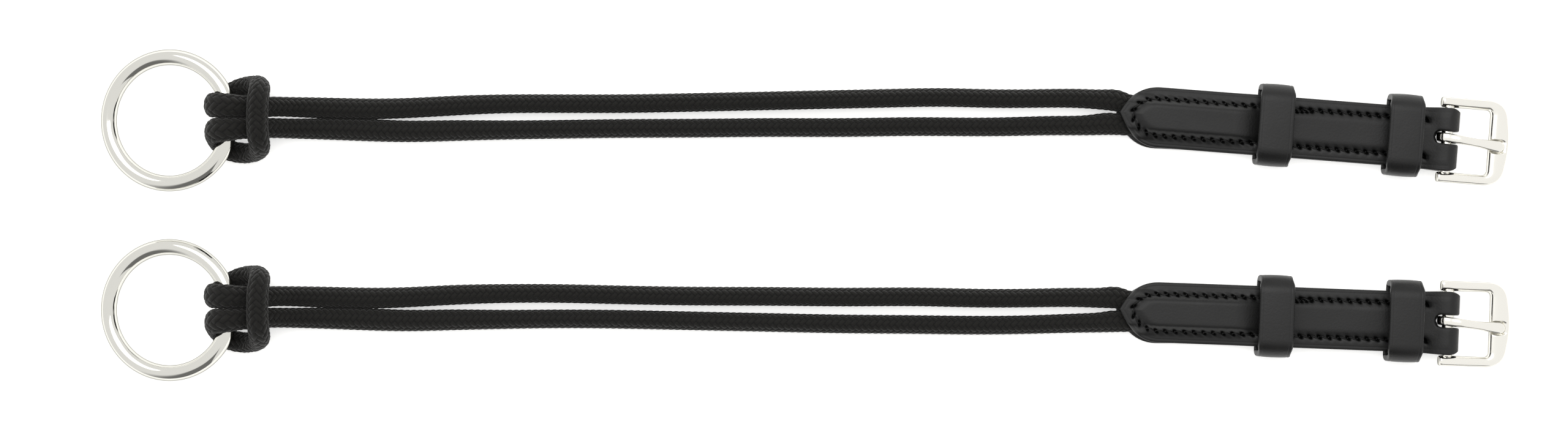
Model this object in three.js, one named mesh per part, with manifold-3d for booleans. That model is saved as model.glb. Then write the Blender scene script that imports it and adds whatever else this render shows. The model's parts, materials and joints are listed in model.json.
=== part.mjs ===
// A pair of gag bridle cheekpieces. Each one is a steel ring held by a braided cord in a cow hitch,
// and the cord's two ends are sewn into a folded leather strap that carries a buckle and two keepers.
// Millimetres, +Z up. The pair lies on the plane z = 0, rings towards -X and buckles towards +X.

import * as THREE from "three";
import { mergeVertices } from "three/addons/utils/BufferGeometryUtils.js";
import Module from "manifold-3d";

const wasm = await Module();
wasm.setup();

// ---- driving dimensions ---------------------------------------------------------------------

const GAP = 0.3; // free space between pieces that touch
const LIFT = 0.05; // keeps the round pieces clear of the plane z = 0
const PAIR_PITCH = 60.1; // between the centrelines of the two rings

const RING_WIRE = 5; // diameter of the round wire
const RING_INSIDE = 35; // free opening of the ring
const HITCH_X = -181.4; // where the cord grips the ring
const STRAND_START = -155.1; // the two strands run straight from here to the strap

const CORD_DIAMETER = 6;
const HITCHED_DIAMETER = 5.4; // the cord is pulled thinner in the hitch
const HITCH_SLACK = 1.2; // room between the ring's wire and the cord that wraps it

const LEATHER = 1.9; // thickness of the folded strap
const STRAP_WIDTH = 19.2;
const STRAP_TIP_X = 99.8;
const TIP_LENGTH = 13; // the pointed end reaches full width after this length
const TIP_SKEW = 0.7; // the point is cut this far off the centreline
const BAR_FROM_TIP = 104.4; // from the strap's point to the buckle's bar

const TAIL_WIDTH = 5.2; // a cord end, pressed flat between the leathers
const TAIL_THICKNESS = 3.8;
const TAIL_LENGTH = 39;
const TAIL_OFFSET = 2.9; // each tail's centre from the strap's centreline

const FILLER_THICKNESS = 1.2;
const FILLER_CLEAR = 7.3; // from the tails' ends to the filler

const KEEPER_WIDTH = 11; // along the strap
const KEEPER_LEATHER = 2.1;
const KEEPER_FOOT = 1.2; // the skived ends between the leathers
const KEEPER_ROOM = 4.5; // height left for the billet above the strap
const KEEPER_SIDE_ROOM = 1.4; // beside the strap
const FAR_KEEPER_CLEAR = 10.2; // from the tails' ends to the far keeper's middle
const NEAR_KEEPER_CLEAR = 14.2; // from the near keeper's middle to the bar

const THREAD = 0.8;
const STITCH_MARGIN = 3.7; // from the strap's edge
const STITCH_CLEAR = 8; // the rows stop this far short of the bar
const CHANNEL_WIDTH = 1.9; // groove under the strap that holds the thread off the ground
const CHANNEL_DEPTH = 1.2;

const BAR_DIAMETER = 3.5;
const BAR_PLAY = 0.3; // between the bar and the leather that folds round it
const FRAME_THICKNESS = 3.2;
const ARM_PLAY = 0.7; // between the strap's edge and the frame's arm
const ARM_WIDTH = 3.2;
const FRAME_REACH = 19.5; // from the bar's axis to the frame's outer edge
const FRAME_RAIL = 5.7; // width of the outer rail at its middle
const FRAME_EDGE = 0.6; // rounding of the frame's edges

const TONGUE_THICKNESS = 1.3;
const TONGUE_ROOT_WIDTH = 2.5;
const TONGUE_TIP_WIDTH = 3.4;
const TONGUE_REACH = 18.2; // from the bar's axis to the tongue's tip
const TONGUE_SKEW = 0.9; // the tongue crosses the centreline, this far to each side
const TONGUE_PLAY = 0.25;
const SLOT_PLAY = 1.25; // beside the tongue, in the leather fold
const SLOT_END_PLAY = 1.4; // in front of the tongue's eye
const SLOT_OFFSET = 0.5;
const REST_DEPTH = 0.9; // the dip in the outer rail where the tongue's tip lies

// Each cheekpiece lies a little differently. A strand is a list of [x, y] points, y from the ring's centre.
const LEFT = {
  name: "left",
  y: PAIR_PITCH / 2,
  tip: 2.0,
  turn: -4.44,
  strandA: [
    [STRAND_START, 4.05], [-139, 3.5], [-127, 3.85], [-112, 4.7], [-96, 5.3], [-80, 5.4], [-57, 5.4],
    [-34, 5.8], [-10, 6.3], [13, 6.8], [29, 7.15], [44, 7.35], [60, 7.0], [75, 7.05], [88, 7.0],
    [95, 6.5], [99.4, 5.6],
  ],
  strandB: [
    [STRAND_START, -2.55], [-139, -3.3], [-127, -3.65], [-112, -3.3], [-96, -3.0], [-80, -2.8], [-57, -2.5],
    [-34, -2.4], [-10, -2.2], [13, -2.2], [36, -1.9], [60, -2.0], [80, -1.6], [91, -1.4], [99.2, -1.2],
  ],
};
const RIGHT = {
  name: "right",
  y: -PAIR_PITCH / 2,
  tip: -0.35,
  turn: -2.14,
  strandA: [
    [STRAND_START, 4.05], [-139, 3.5], [-127, 3.85], [-112, 4.7], [-96, 5.15], [-80, 5.2], [-65, 4.9],
    [-49, 4.55], [-34, 4.35], [-10, 4.25], [13, 4.05], [36, 4.1], [56, 3.7], [75, 3.8], [88, 3.9],
    [95, 3.7], [99.4, 3.15],
  ],
  strandB: [
    [STRAND_START, -2.55], [-139, -3.3], [-127, -3.65], [-112, -3.3], [-96, -3.06], [-80, -2.9], [-57, -3.06],
    [-34, -3.55], [-10, -4.05], [13, -4.5], [36, -4.7], [56, -4.9], [75, -4.6], [88, -4.2], [95, -3.9],
    [99.2, -3.65],
  ],
};

// ---- materials ------------------------------------------------------------------------------

const material = (color, roughness, metalness) =>
  new THREE.MeshStandardMaterial({ color, roughness, metalness });
const STEEL = material(0xdcdcd6, 0.14, 1);
const STRAP_LEATHER = material(0x2e2e30, 0.42, 0);
const KEEPER_HIDE = material(0x303032, 0.45, 0);
const FILLER_HIDE = material(0x3a3532, 0.8, 0);
const CORD = material(0x1c1b1a, 0.8, 0);
const THREAD_BLACK = material(0x121212, 0.6, 0);

// ---- tools ----------------------------------------------------------------------------------

// A closed geometry as a manifold solid.
function solid(geometry) {
  const bare = geometry.index ? geometry.toNonIndexed() : geometry.clone();
  bare.deleteAttribute("normal");
  bare.deleteAttribute("uv");
  const merged = mergeVertices(bare, 1e-4);
  return new wasm.Manifold(
    new wasm.Mesh({
      numProp: 3,
      vertProperties: merged.attributes.position.array,
      triVerts: new Uint32Array(merged.index.array),
    }),
  );
}

// A manifold solid as a geometry.
function geometryOf(body) {
  const { vertProperties, triVerts } = body.getMesh();
  const geometry = new THREE.BufferGeometry();
  geometry.setAttribute("position", new THREE.BufferAttribute(vertProperties, 3));
  geometry.setIndex(new THREE.BufferAttribute(triVerts, 1));
  geometry.computeVertexNormals();
  return geometry;
}

function mesh(name, geometry, finish) {
  const made = new THREE.Mesh(geometry, finish);
  made.name = name;
  return made;
}

// A plan shape raised from z = low to z = high.
function prism(shape, low, high, curveSegments = 8) {
  const made = new THREE.ExtrudeGeometry(shape, { depth: high - low, bevelEnabled: false, curveSegments });
  return made.translate(0, 0, low);
}

// A profile drawn in (y, z) and extruded along x, centred on x = 0.
function crossExtrude(shape, length, curveSegments = 6) {
  const made = new THREE.ExtrudeGeometry(shape, { depth: length, bevelEnabled: false, curveSegments });
  const turn = new THREE.Matrix4().makeBasis(
    new THREE.Vector3(0, 1, 0),
    new THREE.Vector3(0, 0, 1),
    new THREE.Vector3(1, 0, 0),
  );
  return made.translate(0, 0, -length / 2).applyMatrix4(turn);
}

// A round tube along a smooth curve through the points.
function tube(points, diameter, steps, sides) {
  const section = new THREE.Shape(
    Array.from({ length: sides }, (_, i) => {
      const angle = (2 * Math.PI * i) / sides;
      return new THREE.Vector2(Math.cos(angle), Math.sin(angle)).multiplyScalar(diameter / 2);
    }),
  );
  const path = new THREE.CatmullRomCurve3(points, false, "centripetal");
  return new THREE.ExtrudeGeometry(section, { extrudePath: path, steps, bevelEnabled: false });
}

const smooth = THREE.MathUtils.smoothstep;

// ---- the ring -------------------------------------------------------------------------------

const WIRE_RADIUS = RING_WIRE / 2;
const RING_MIDDLE = RING_INSIDE / 2 + WIRE_RADIUS;
const WRAP_RADIUS = WIRE_RADIUS + HITCH_SLACK + HITCHED_DIAMETER / 2;
const HITCH_HEIGHT = HITCHED_DIAMETER / 2 + WRAP_RADIUS;
// The ring leans on the ground at its far side and on the hitch at the near side.
const RING_LEAN = Math.asin((HITCH_HEIGHT - WIRE_RADIUS - LIFT) / (2 * RING_MIDDLE));

function ring() {
  const torus = new THREE.TorusGeometry(RING_MIDDLE, WIRE_RADIUS, 12, 40);
  torus.translate(-RING_MIDDLE, 0, 0);
  return torus;
}

// ---- the cord -------------------------------------------------------------------------------

// One half of the cow hitch, from the standing part to the middle of the bight. x is from the ring's wire.
// side is 1 for the strand on the +Y side and -1 for the other.
function hitchHalf(side, y) {
  const r = WRAP_RADIUS;
  const h = HITCH_HEIGHT;
  const low = HITCHED_DIAMETER / 2 + 2 * LIFT;
  const diagonal = r * Math.SQRT1_2;
  const cross = h + diagonal + HITCHED_DIAMETER - 2.4; // the bight crosses over both strands
  const out = 0.65; // the hitch sits this far to the +Y side
  const end = STRAND_START - GAP - HITCH_X;
  return [
    [end, y, CORD_DIAMETER / 2 + LIFT, 0],
    [end - 2, y, CORD_DIAMETER / 2 + LIFT, 0],
    [19, out + side * 3.4, low + 0.9, 0],
    [13.5, out + side * 3.9, low + 3.1, 0],
    [9, out + side * 4.2, low + 6.1, 0],
    [diagonal, out + side * 4.4, h + diagonal, 1],
    [0, out + side * 4.6, h + r, 1],
    [-diagonal, out + side * 4.8, h + diagonal, 1],
    [-r, out + side * 5.1, h, 1],
    [-diagonal, out + side * 5.8, h - diagonal, 1],
    [0, out + side * 7.3, low, 1],
    [4.9, out + side * 9.7, low + 0.3, 0.5],
    [8.2, out + side * 11.2, low + 2.6, 0],
    [9.7, out + side * 11.4, low + 6.9, 0],
    [9.8, out + side * 9.5, cross - 2.4, 0],
    [9.5, out + side * 5.4, cross, 0],
  ].map(([x, across, z, follow]) => {
    const bow = Math.sqrt(RING_MIDDLE ** 2 - across ** 2) - RING_MIDDLE; // the ring curves away
    return new THREE.Vector3(HITCH_X + x + follow * bow, across, z);
  });
}

function hitch(piece) {
  const upper = hitchHalf(1, piece.strandA[0][1]);
  const lower = hitchHalf(-1, piece.strandB[0][1]).reverse();
  const start = upper.at(-1);
  const crown = new THREE.Vector3(start.x - 0.1, (start.y + lower[0].y) / 2, start.z + GAP);
  return tube([...upper, crown, ...lower], HITCHED_DIAMETER, 76, 8);
}

// A strand lies on the ground and rises where it enters the strap.
function strand(route) {
  const last = route.length - 1;
  const rest = CORD_DIAMETER / 2 + LIFT;
  const mouth = LEATHER + GAP + TAIL_THICKNESS / 2;
  const rise = [0, 0.12, 0.55, 1]; // share of the rise at the last four points
  const points = route.map(([x, y], i) => {
    const share = i > last - 3 ? rise[i - last + 3] : 0;
    return new THREE.Vector3(x, y, rest + (mouth - rest) * share);
  });
  return tube(points, CORD_DIAMETER, 26, 8);
}

function tail(side) {
  const section = new THREE.Shape();
  section.absellipse(side * TAIL_OFFSET, 0, TAIL_WIDTH / 2, TAIL_THICKNESS / 2, 0, 2 * Math.PI);
  const made = crossExtrude(section, TAIL_LENGTH - GAP, 5);
  return made.translate((TAIL_LENGTH + GAP) / 2 + 0.4, 0, LEATHER + GAP + TAIL_THICKNESS / 2);
}

// ---- the leather strap ----------------------------------------------------------------------

const HALF_STRAP = STRAP_WIDTH / 2;
const STITCH_ROW = HALF_STRAP - STITCH_MARGIN; // from the strap's centreline
const STITCH_END = BAR_FROM_TIP - STITCH_CLEAR;
const FILLER_START = TAIL_LENGTH + FILLER_CLEAR;
const KEEPER_FROM_TIP = [TAIL_LENGTH + FAR_KEEPER_CLEAR, BAR_FROM_TIP - NEAR_KEEPER_CLEAR];
const BAR_RADIUS = BAR_DIAMETER / 2;
const EYE_RADIUS = BAR_RADIUS + TONGUE_PLAY + TONGUE_THICKNESS;
const FOLD_GAP = BAR_DIAMETER + 2 * BAR_PLAY;
const FILLER_GAP = FILLER_THICKNESS + 2 * GAP;
const TAIL_GAP = TAIL_THICKNESS + 2 * GAP;
const BAR_HEIGHT = LEATHER + FOLD_GAP / 2;
// The front leather is flat over the tails out to here, and has come down to the back leather at the foot.
const CROWN_FLAT = TAIL_OFFSET + TAIL_WIDTH / 2 - 0.6;
const CROWN_FOOT = CROWN_FLAT + 2.3;
const NECK = KEEPER_FROM_TIP[1] + KEEPER_WIDTH / 2 + 0.8; // the leathers part here to go round the bar

// The free height between the two leathers at u along the strap and v across it.
function layerGap(u, v) {
  const tailEnd = TAIL_LENGTH + 1;
  const middle = TAIL_GAP + (FILLER_GAP - TAIL_GAP) * smooth(u, tailEnd, FILLER_START - GAP);
  const edge = GAP + (FILLER_GAP - GAP) * smooth(u, tailEnd - 4, KEEPER_FROM_TIP[0] - KEEPER_WIDTH / 2 - GAP);
  const crowned = edge + (middle - edge) * (1 - smooth(Math.abs(v), CROWN_FLAT, CROWN_FOOT));
  return crowned + (FOLD_GAP - FILLER_GAP) * smooth(u, NECK, BAR_FROM_TIP);
}

const topOf = (u, v) => 2 * LEATHER + layerGap(u, v);

// Stations along the strip, from the front leather's point, round the bar, to the back leather's point.
function strapStations() {
  const flat = [0, 0.25, 0.5, 0.75, 0.9].map((share) => share * TAIL_LENGTH);
  const slope = [-1, 1, 3, 5, 7.5].map((past) => TAIL_LENGTH + past);
  const neck = [0, 0.2, 0.45, 0.7, 0.88].map((share) => NECK + share * (BAR_FROM_TIP - NECK));
  const front = [...flat, ...slope, (slope.at(-1) + NECK) / 2, ...neck];
  const folds = 8;
  const round = Array.from({ length: folds + 1 }, (_, i) => Math.PI * (0.5 - i / folds));
  return [
    ...front.map((u) => (v, out) => [u, LEATHER + layerGap(u, v) + out * LEATHER]),
    ...round.map((angle) => (v, out) => {
      const r = FOLD_GAP / 2 + out * LEATHER;
      return [BAR_FROM_TIP + r * Math.cos(angle), BAR_HEIGHT + r * Math.sin(angle)];
    }),
    ...[STITCH_END, 0].map((u) => (v, out) => [u, LEATHER * (1 - out)]),
  ];
}

// The strap's plan: a rounded point at u = 0 and straight sides to past the fold.
function strapOutline() {
  const half = HALF_STRAP;
  const end = BAR_FROM_TIP + half;
  const near = TIP_LENGTH * 0.17;
  const far = TIP_LENGTH * 0.46;
  const rise = half * 0.46;
  const outline = new THREE.Shape();
  outline.moveTo(0, TIP_SKEW);
  outline.bezierCurveTo(near, TIP_SKEW - rise, far, -half, TIP_LENGTH, -half);
  outline.lineTo(end, -half);
  outline.lineTo(end, half);
  outline.lineTo(TIP_LENGTH, half);
  outline.bezierCurveTo(far, half, near, TIP_SKEW + rise, 0, TIP_SKEW);
  return outline;
}

// The tongue's slot, which opens through the fold.
function slotOutline() {
  const start = BAR_FROM_TIP - EYE_RADIUS - SLOT_END_PLAY;
  const r = TONGUE_ROOT_WIDTH / 2 + SLOT_PLAY;
  const end = BAR_FROM_TIP + 2 * HALF_STRAP;
  const outline = new THREE.Shape();
  outline.moveTo(end, SLOT_OFFSET + r);
  outline.lineTo(start + r, SLOT_OFFSET + r);
  outline.absarc(start + r, SLOT_OFFSET, r, Math.PI / 2, (3 * Math.PI) / 2, false);
  outline.lineTo(end, SLOT_OFFSET - r);
  return outline;
}

// The plan line that the stitches follow, moved inward, as half of it: down one side and round to the point.
function stitchLine(inward = 0) {
  const nose = HALF_STRAP - STITCH_ROW + 0.6;
  const bend = new THREE.CubicBezierCurve(
    new THREE.Vector2(TIP_LENGTH, STITCH_ROW),
    new THREE.Vector2(TIP_LENGTH * 0.62, STITCH_ROW),
    new THREE.Vector2(nose, STITCH_ROW * 0.55),
    new THREE.Vector2(nose, 0),
  );
  const steps = 6;
  return Array.from({ length: steps + 1 }, (_, i) => {
    const along = bend.getTangent(i / steps);
    return bend.getPoint(i / steps).add(new THREE.Vector2(-along.y, along.x).multiplyScalar(inward));
  });
}

// The groove in the underside: a band along the stitch line.
function channelOutline() {
  const half = CHANNEL_WIDTH / 2;
  const outer = stitchLine(-half);
  const inner = stitchLine(half);
  const mirrored = (points) => points.slice(0, -1).reverse().map((p) => new THREE.Vector2(p.x, -p.y));
  const end = STITCH_END + 0.6;
  return new THREE.Shape([
    new THREE.Vector2(end, STITCH_ROW + half),
    ...outer,
    ...mirrored(outer),
    new THREE.Vector2(end, -STITCH_ROW - half),
    new THREE.Vector2(end, -STITCH_ROW + half),
    ...mirrored(inner).reverse(),
    ...inner.slice().reverse(),
    new THREE.Vector2(end, STITCH_ROW - half),
  ]);
}

function strap() {
  const stations = strapStations();
  const side = [0, CROWN_FLAT / 2, CROWN_FLAT, CROWN_FLAT + 0.8, CROWN_FLAT + 1.5, CROWN_FOOT, HALF_STRAP];
  const columns = [...side.slice(1).reverse().map((v) => -v), ...side];
  const strip = new THREE.BoxGeometry(1, 1, 1, stations.length - 1, columns.length - 1, 1);
  const place = strip.attributes.position;
  for (let i = 0; i < place.count; i++) {
    const station = stations[Math.round((place.getX(i) + 0.5) * (stations.length - 1))];
    const v = columns[Math.round((place.getY(i) + 0.5) * (columns.length - 1))];
    const [u, z] = station(v, place.getZ(i) + 0.5);
    place.setXYZ(i, u, v, z);
  }
  const room = 4 * BAR_HEIGHT;
  return geometryOf(
    solid(strip)
      .intersect(solid(prism(strapOutline(), -room, room)))
      .subtract(solid(prism(slotOutline(), -room, room)))
      .subtract(solid(prism(channelOutline(), -1, CHANNEL_DEPTH))),
  );
}

// The middle leather, notched where the keepers' feet lie beside it.
function filler() {
  const half = HALF_STRAP - GAP;
  const notch = STITCH_ROW;
  const end = NECK - GAP;
  const [, near] = KEEPER_FROM_TIP;
  const reach = KEEPER_WIDTH / 2 + GAP;
  const edge = [
    [KEEPER_FROM_TIP[0] + reach, notch],
    [KEEPER_FROM_TIP[0] + reach, half],
    [near - reach, half],
    [near - reach, notch],
  ];
  const plan = [
    [FILLER_START, notch],
    ...edge,
    [end, notch],
    [end, -notch],
    ...edge.map(([u, v]) => [u, -v]).reverse(),
    [FILLER_START, -notch],
  ];
  const shape = new THREE.Shape(plan.map(([u, v]) => new THREE.Vector2(u, v)));
  return prism(shape, LEATHER + GAP, LEATHER + GAP + FILLER_THICKNESS);
}

// A keeper: a leather band arched over the strap, its thin feet tucked between the two leathers.
function keeper() {
  const inner = HALF_STRAP + KEEPER_SIDE_ROOM;
  const outer = inner + KEEPER_LEATHER;
  const foot = LEATHER + GAP;
  const sole = foot + KEEPER_FOOT;
  const roof = 2 * LEATHER + FILLER_GAP + KEEPER_ROOM;
  const top = roof + KEEPER_LEATHER;
  const tuck = STITCH_ROW + GAP;
  const bend = 3.2; // outside radius of the upper bends
  const hollow = bend - KEEPER_LEATHER + 0.3;
  const heel = 1.8; // outside radius of the lower bends
  const profile = new THREE.Shape();
  profile.moveTo(-tuck, foot);
  profile.lineTo(-tuck, sole);
  profile.lineTo(-inner, sole);
  profile.lineTo(-inner, roof - hollow);
  profile.absarc(-inner + hollow, roof - hollow, hollow, Math.PI, Math.PI / 2, true);
  profile.absarc(inner - hollow, roof - hollow, hollow, Math.PI / 2, 0, true);
  profile.lineTo(inner, sole);
  profile.lineTo(tuck, sole);
  profile.lineTo(tuck, foot);
  profile.absarc(outer - heel, foot + heel, heel, -Math.PI / 2, 0, false);
  profile.absarc(outer - bend, top - bend, bend, 0, Math.PI / 2, false);
  profile.absarc(-outer + bend, top - bend, bend, Math.PI / 2, Math.PI, false);
  profile.absarc(-outer + heel, foot + heel, heel, Math.PI, (3 * Math.PI) / 2, false);
  return crossExtrude(profile, KEEPER_WIDTH, 2);
}

// ---- stitching ------------------------------------------------------------------------------

function thread(height, straight) {
  const half = [
    ...straight.map((u) => new THREE.Vector2(u, STITCH_ROW)),
    ...stitchLine(),
  ];
  const whole = [...half, ...half.slice(0, -1).reverse().map((p) => new THREE.Vector2(p.x, -p.y))];
  return whole.map((p) => new THREE.Vector3(p.x, p.y, height(p.x, p.y)));
}

// The front thread lies on the leather: one line from the buckle, round the point and back.
function frontStitching() {
  const slope = [8.5, 5.5, 3.5, 1.5, -1, -4, -20].map((past) => TAIL_LENGTH + past);
  const bends = [STITCH_END, NECK - 3, (NECK + FILLER_START) / 2, ...slope];
  const inside = 0.7; // the leather rises towards the middle
  const points = thread((u, v) => topOf(u, Math.abs(v) - inside) + GAP + THREAD / 2, bends);
  return tube(points, THREAD, 64, 6);
}

function backStitching() {
  const points = thread(() => CHANNEL_DEPTH - GAP - THREAD / 2, [STITCH_END, TAIL_LENGTH]);
  return tube(points, THREAD, 2 * Math.round(STITCH_END / 4), 5);
}

// ---- the buckle -----------------------------------------------------------------------------
// Its own frame: the bar's axis at the origin along y, a along x, and the frame's middle plane at z = 0.

const FRAME_INSIDE = STRAP_WIDTH + 2 * ARM_PLAY;
const FRAME_HALF = FRAME_INSIDE / 2 + ARM_WIDTH;
const FRAME_LEAN = Math.asin((BAR_HEIGHT - FRAME_THICKNESS / 2 - 2 * LIFT) / (FRAME_REACH - 1.5));

function frameOutline() {
  const corner = 6.5;
  const bow = 1.5;
  const inside = FRAME_INSIDE / 2;
  const rail = FRAME_REACH - FRAME_RAIL;
  const small = 1;
  const arm = -BAR_RADIUS - 0.15;
  const outline = new THREE.Shape();
  outline.moveTo(arm, FRAME_HALF);
  outline.lineTo(arm, inside);
  outline.lineTo(rail - small, inside);
  outline.quadraticCurveTo(rail, inside, rail, inside - small);
  outline.lineTo(rail, -inside + small);
  outline.quadraticCurveTo(rail, -inside, rail - small, -inside);
  outline.lineTo(arm, -inside);
  outline.lineTo(arm, -FRAME_HALF);
  outline.lineTo(FRAME_REACH - bow - corner, -FRAME_HALF);
  outline.quadraticCurveTo(FRAME_REACH - bow, -FRAME_HALF, FRAME_REACH - bow + 0.5, -FRAME_HALF + corner);
  outline.quadraticCurveTo(FRAME_REACH + bow / 3, 0, FRAME_REACH - bow + 0.5, FRAME_HALF - corner);
  outline.quadraticCurveTo(FRAME_REACH - bow, FRAME_HALF, FRAME_REACH - bow - corner, FRAME_HALF);
  return outline;
}

function buckleFrame() {
  const body = new THREE.ExtrudeGeometry(frameOutline(), {
    depth: FRAME_THICKNESS - 2 * FRAME_EDGE,
    bevelSize: FRAME_EDGE,
    bevelOffset: -FRAME_EDGE,
    bevelThickness: FRAME_EDGE,
    bevelSegments: 2,
    curveSegments: 6,
  }).translate(0, 0, FRAME_EDGE - FRAME_THICKNESS / 2);
  const bar = new THREE.CylinderGeometry(BAR_RADIUS, BAR_RADIUS, FRAME_INSIDE + ARM_WIDTH, 24);
  const half = TONGUE_TIP_WIDTH / 2 + 0.6;
  const end = TONGUE_REACH + GAP;
  const rest = new THREE.Shape();
  rest.moveTo(FRAME_REACH - FRAME_RAIL - 3, -TONGUE_SKEW - half);
  rest.lineTo(end - half, -TONGUE_SKEW - half);
  rest.absarc(end - half, -TONGUE_SKEW, half, -Math.PI / 2, Math.PI / 2, false);
  rest.lineTo(FRAME_REACH - FRAME_RAIL - 3, -TONGUE_SKEW + half);
  const floor = FRAME_THICKNESS / 2 - REST_DEPTH;
  return geometryOf(
    solid(body).add(solid(bar)).subtract(solid(prism(rest, floor, FRAME_THICKNESS))),
  );
}

// The tongue's side view, an eye round the bar and a blade to the rail, cut to its plan.
function buckleTongue() {
  const hole = BAR_RADIUS + TONGUE_PLAY;
  const eye = EYE_RADIUS;
  const low = FRAME_THICKNESS / 2 - REST_DEPTH + GAP;
  const high = low + 1.7;
  const tip = TONGUE_REACH;
  const side = new THREE.Shape();
  side.absarc(0, 0, eye, Math.PI / 2, Math.PI / 4 + 2 * Math.PI, false);
  side.lineTo(eye + 2.2, hole - 0.1);
  side.quadraticCurveTo(tip * 0.6, low + 0.3, tip * 0.78, low);
  side.lineTo(tip - 0.7, low);
  side.quadraticCurveTo(tip, low + 0.1, tip, (low + high) / 2);
  side.quadraticCurveTo(tip, high, tip - 1.2, high);
  side.quadraticCurveTo(tip * 0.5, high + 1.1, 2.2, eye + 0.1);
  const pin = new THREE.Path();
  pin.absarc(0, 0, hole, 0, 2 * Math.PI, true);
  side.holes.push(pin);
  const across = new THREE.ExtrudeGeometry(side, { depth: 8, bevelEnabled: false, curveSegments: 8 });
  across.translate(0, 0, -4).rotateX(Math.PI / 2);
  const root = TONGUE_ROOT_WIDTH / 2;
  const wide = TONGUE_TIP_WIDTH / 2;
  const plan = new THREE.Shape();
  plan.moveTo(-eye - 1, TONGUE_SKEW + root);
  plan.lineTo(-eye - 1, TONGUE_SKEW - root);
  plan.lineTo(eye, TONGUE_SKEW - root);
  plan.lineTo(tip - wide, -TONGUE_SKEW - wide);
  plan.absarc(tip - wide, -TONGUE_SKEW, wide, -Math.PI / 2, Math.PI / 2, false);
  plan.lineTo(eye, TONGUE_SKEW + root);
  return geometryOf(solid(across).intersect(solid(prism(plan, -8, 8))));
}

// ---- the pair -------------------------------------------------------------------------------

function cheekpiece(piece) {
  const { name } = piece;
  const cheek = new THREE.Group();
  cheek.position.y = piece.y;

  const loop = mesh(`${name}_ring`, ring(), STEEL);
  loop.position.set(HITCH_X, 0, HITCH_HEIGHT);
  loop.rotation.y = -RING_LEAN;
  cheek.add(loop);
  cheek.add(mesh(`${name}_cord_hitch`, hitch(piece), CORD));
  cheek.add(mesh(`${name}_cord_strand_a`, strand(piece.strandA), CORD));
  cheek.add(mesh(`${name}_cord_strand_b`, strand(piece.strandB), CORD));

  const leather = new THREE.Group();
  leather.position.set(STRAP_TIP_X, piece.tip, 0);
  leather.rotation.z = THREE.MathUtils.degToRad(piece.turn);
  leather.add(mesh(`${name}_cord_tail_a`, tail(1), CORD));
  leather.add(mesh(`${name}_cord_tail_b`, tail(-1), CORD));
  leather.add(mesh(`${name}_strap`, strap(), STRAP_LEATHER));
  leather.add(mesh(`${name}_filler`, filler(), FILLER_HIDE));
  ["far", "near"].forEach((place, i) => {
    const band = mesh(`${name}_keeper_${place}`, keeper(), KEEPER_HIDE);
    band.position.x = KEEPER_FROM_TIP[i];
    leather.add(band);
  });
  leather.add(mesh(`${name}_stitching_front`, frontStitching(), THREAD_BLACK));
  leather.add(mesh(`${name}_stitching_back`, backStitching(), THREAD_BLACK));

  const buckle = new THREE.Group();
  buckle.position.set(BAR_FROM_TIP, 0, BAR_HEIGHT);
  buckle.rotation.y = FRAME_LEAN;
  buckle.add(mesh(`${name}_buckle_frame`, buckleFrame(), STEEL));
  buckle.add(mesh(`${name}_buckle_tongue`, buckleTongue(), STEEL));
  leather.add(buckle);
  cheek.add(leather);
  return cheek;
}

const pair = new THREE.Group();
pair.add(cheekpiece(LEFT), cheekpiece(RIGHT));

export default pair;
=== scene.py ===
# A pair of gag bridle cheekpieces, laid out side by side: a rein ring, a braided cord hitched to it, and the
# folded leather strap with its keepers and buckle that the cord's two ends are sewn into.
import json
import math

import bmesh
import bpy
import numpy as np
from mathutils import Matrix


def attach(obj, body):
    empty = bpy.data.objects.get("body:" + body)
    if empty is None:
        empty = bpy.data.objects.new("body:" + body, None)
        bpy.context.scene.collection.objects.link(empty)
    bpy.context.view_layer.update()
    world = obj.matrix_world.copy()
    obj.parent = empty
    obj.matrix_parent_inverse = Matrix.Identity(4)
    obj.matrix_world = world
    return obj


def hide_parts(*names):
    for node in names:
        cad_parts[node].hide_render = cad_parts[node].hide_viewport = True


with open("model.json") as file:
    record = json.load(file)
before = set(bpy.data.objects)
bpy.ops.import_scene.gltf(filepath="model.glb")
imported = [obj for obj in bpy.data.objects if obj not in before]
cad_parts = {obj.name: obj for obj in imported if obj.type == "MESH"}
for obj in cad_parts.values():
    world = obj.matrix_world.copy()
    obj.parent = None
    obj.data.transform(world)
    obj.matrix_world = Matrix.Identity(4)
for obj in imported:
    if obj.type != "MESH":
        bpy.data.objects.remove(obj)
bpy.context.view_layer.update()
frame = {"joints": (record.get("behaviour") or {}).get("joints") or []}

# ---- The table, the daylight and the camera ----------------------------------------------------------------
# The pair lies on a plain white table in a white room, lit from above by one large soft panel. Past the
# table's near side the room is dark, which is what draws the dark lines on the polished steel.

MM = 0.001  # lengths are in millimetres, and are made metres where a mesh is filled
TABLE_SIZE = 6.0  # metres
TABLE_WHITE = "f6f6f4"
SKY_BRIGHTNESS = 0.97
DARK_SIDE_BRIGHTNESS = 0.2
TABLE_GLOW = 0.5
LENS = 85.0
SENSOR = 36.0
FRAME_WIDTH = 499.2 * MM  # how much of the table is in view
FRAME_CENTRE = (-6.4 * MM, -0.1 * MM)


def add(tree, kind, links=None, **settings):
    """A new node in a tree. links gives inputs, by name or number, a socket to join or a value to hold."""
    node = tree.nodes.new("ShaderNode" + kind)
    for name, value in settings.items():
        setattr(node, name, value)
    for name, value in (links or {}).items():
        socket = node.inputs[name]
        if isinstance(value, bpy.types.NodeSocket):
            tree.links.new(value, socket)
        else:
            socket.default_value = value
    return node


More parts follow.
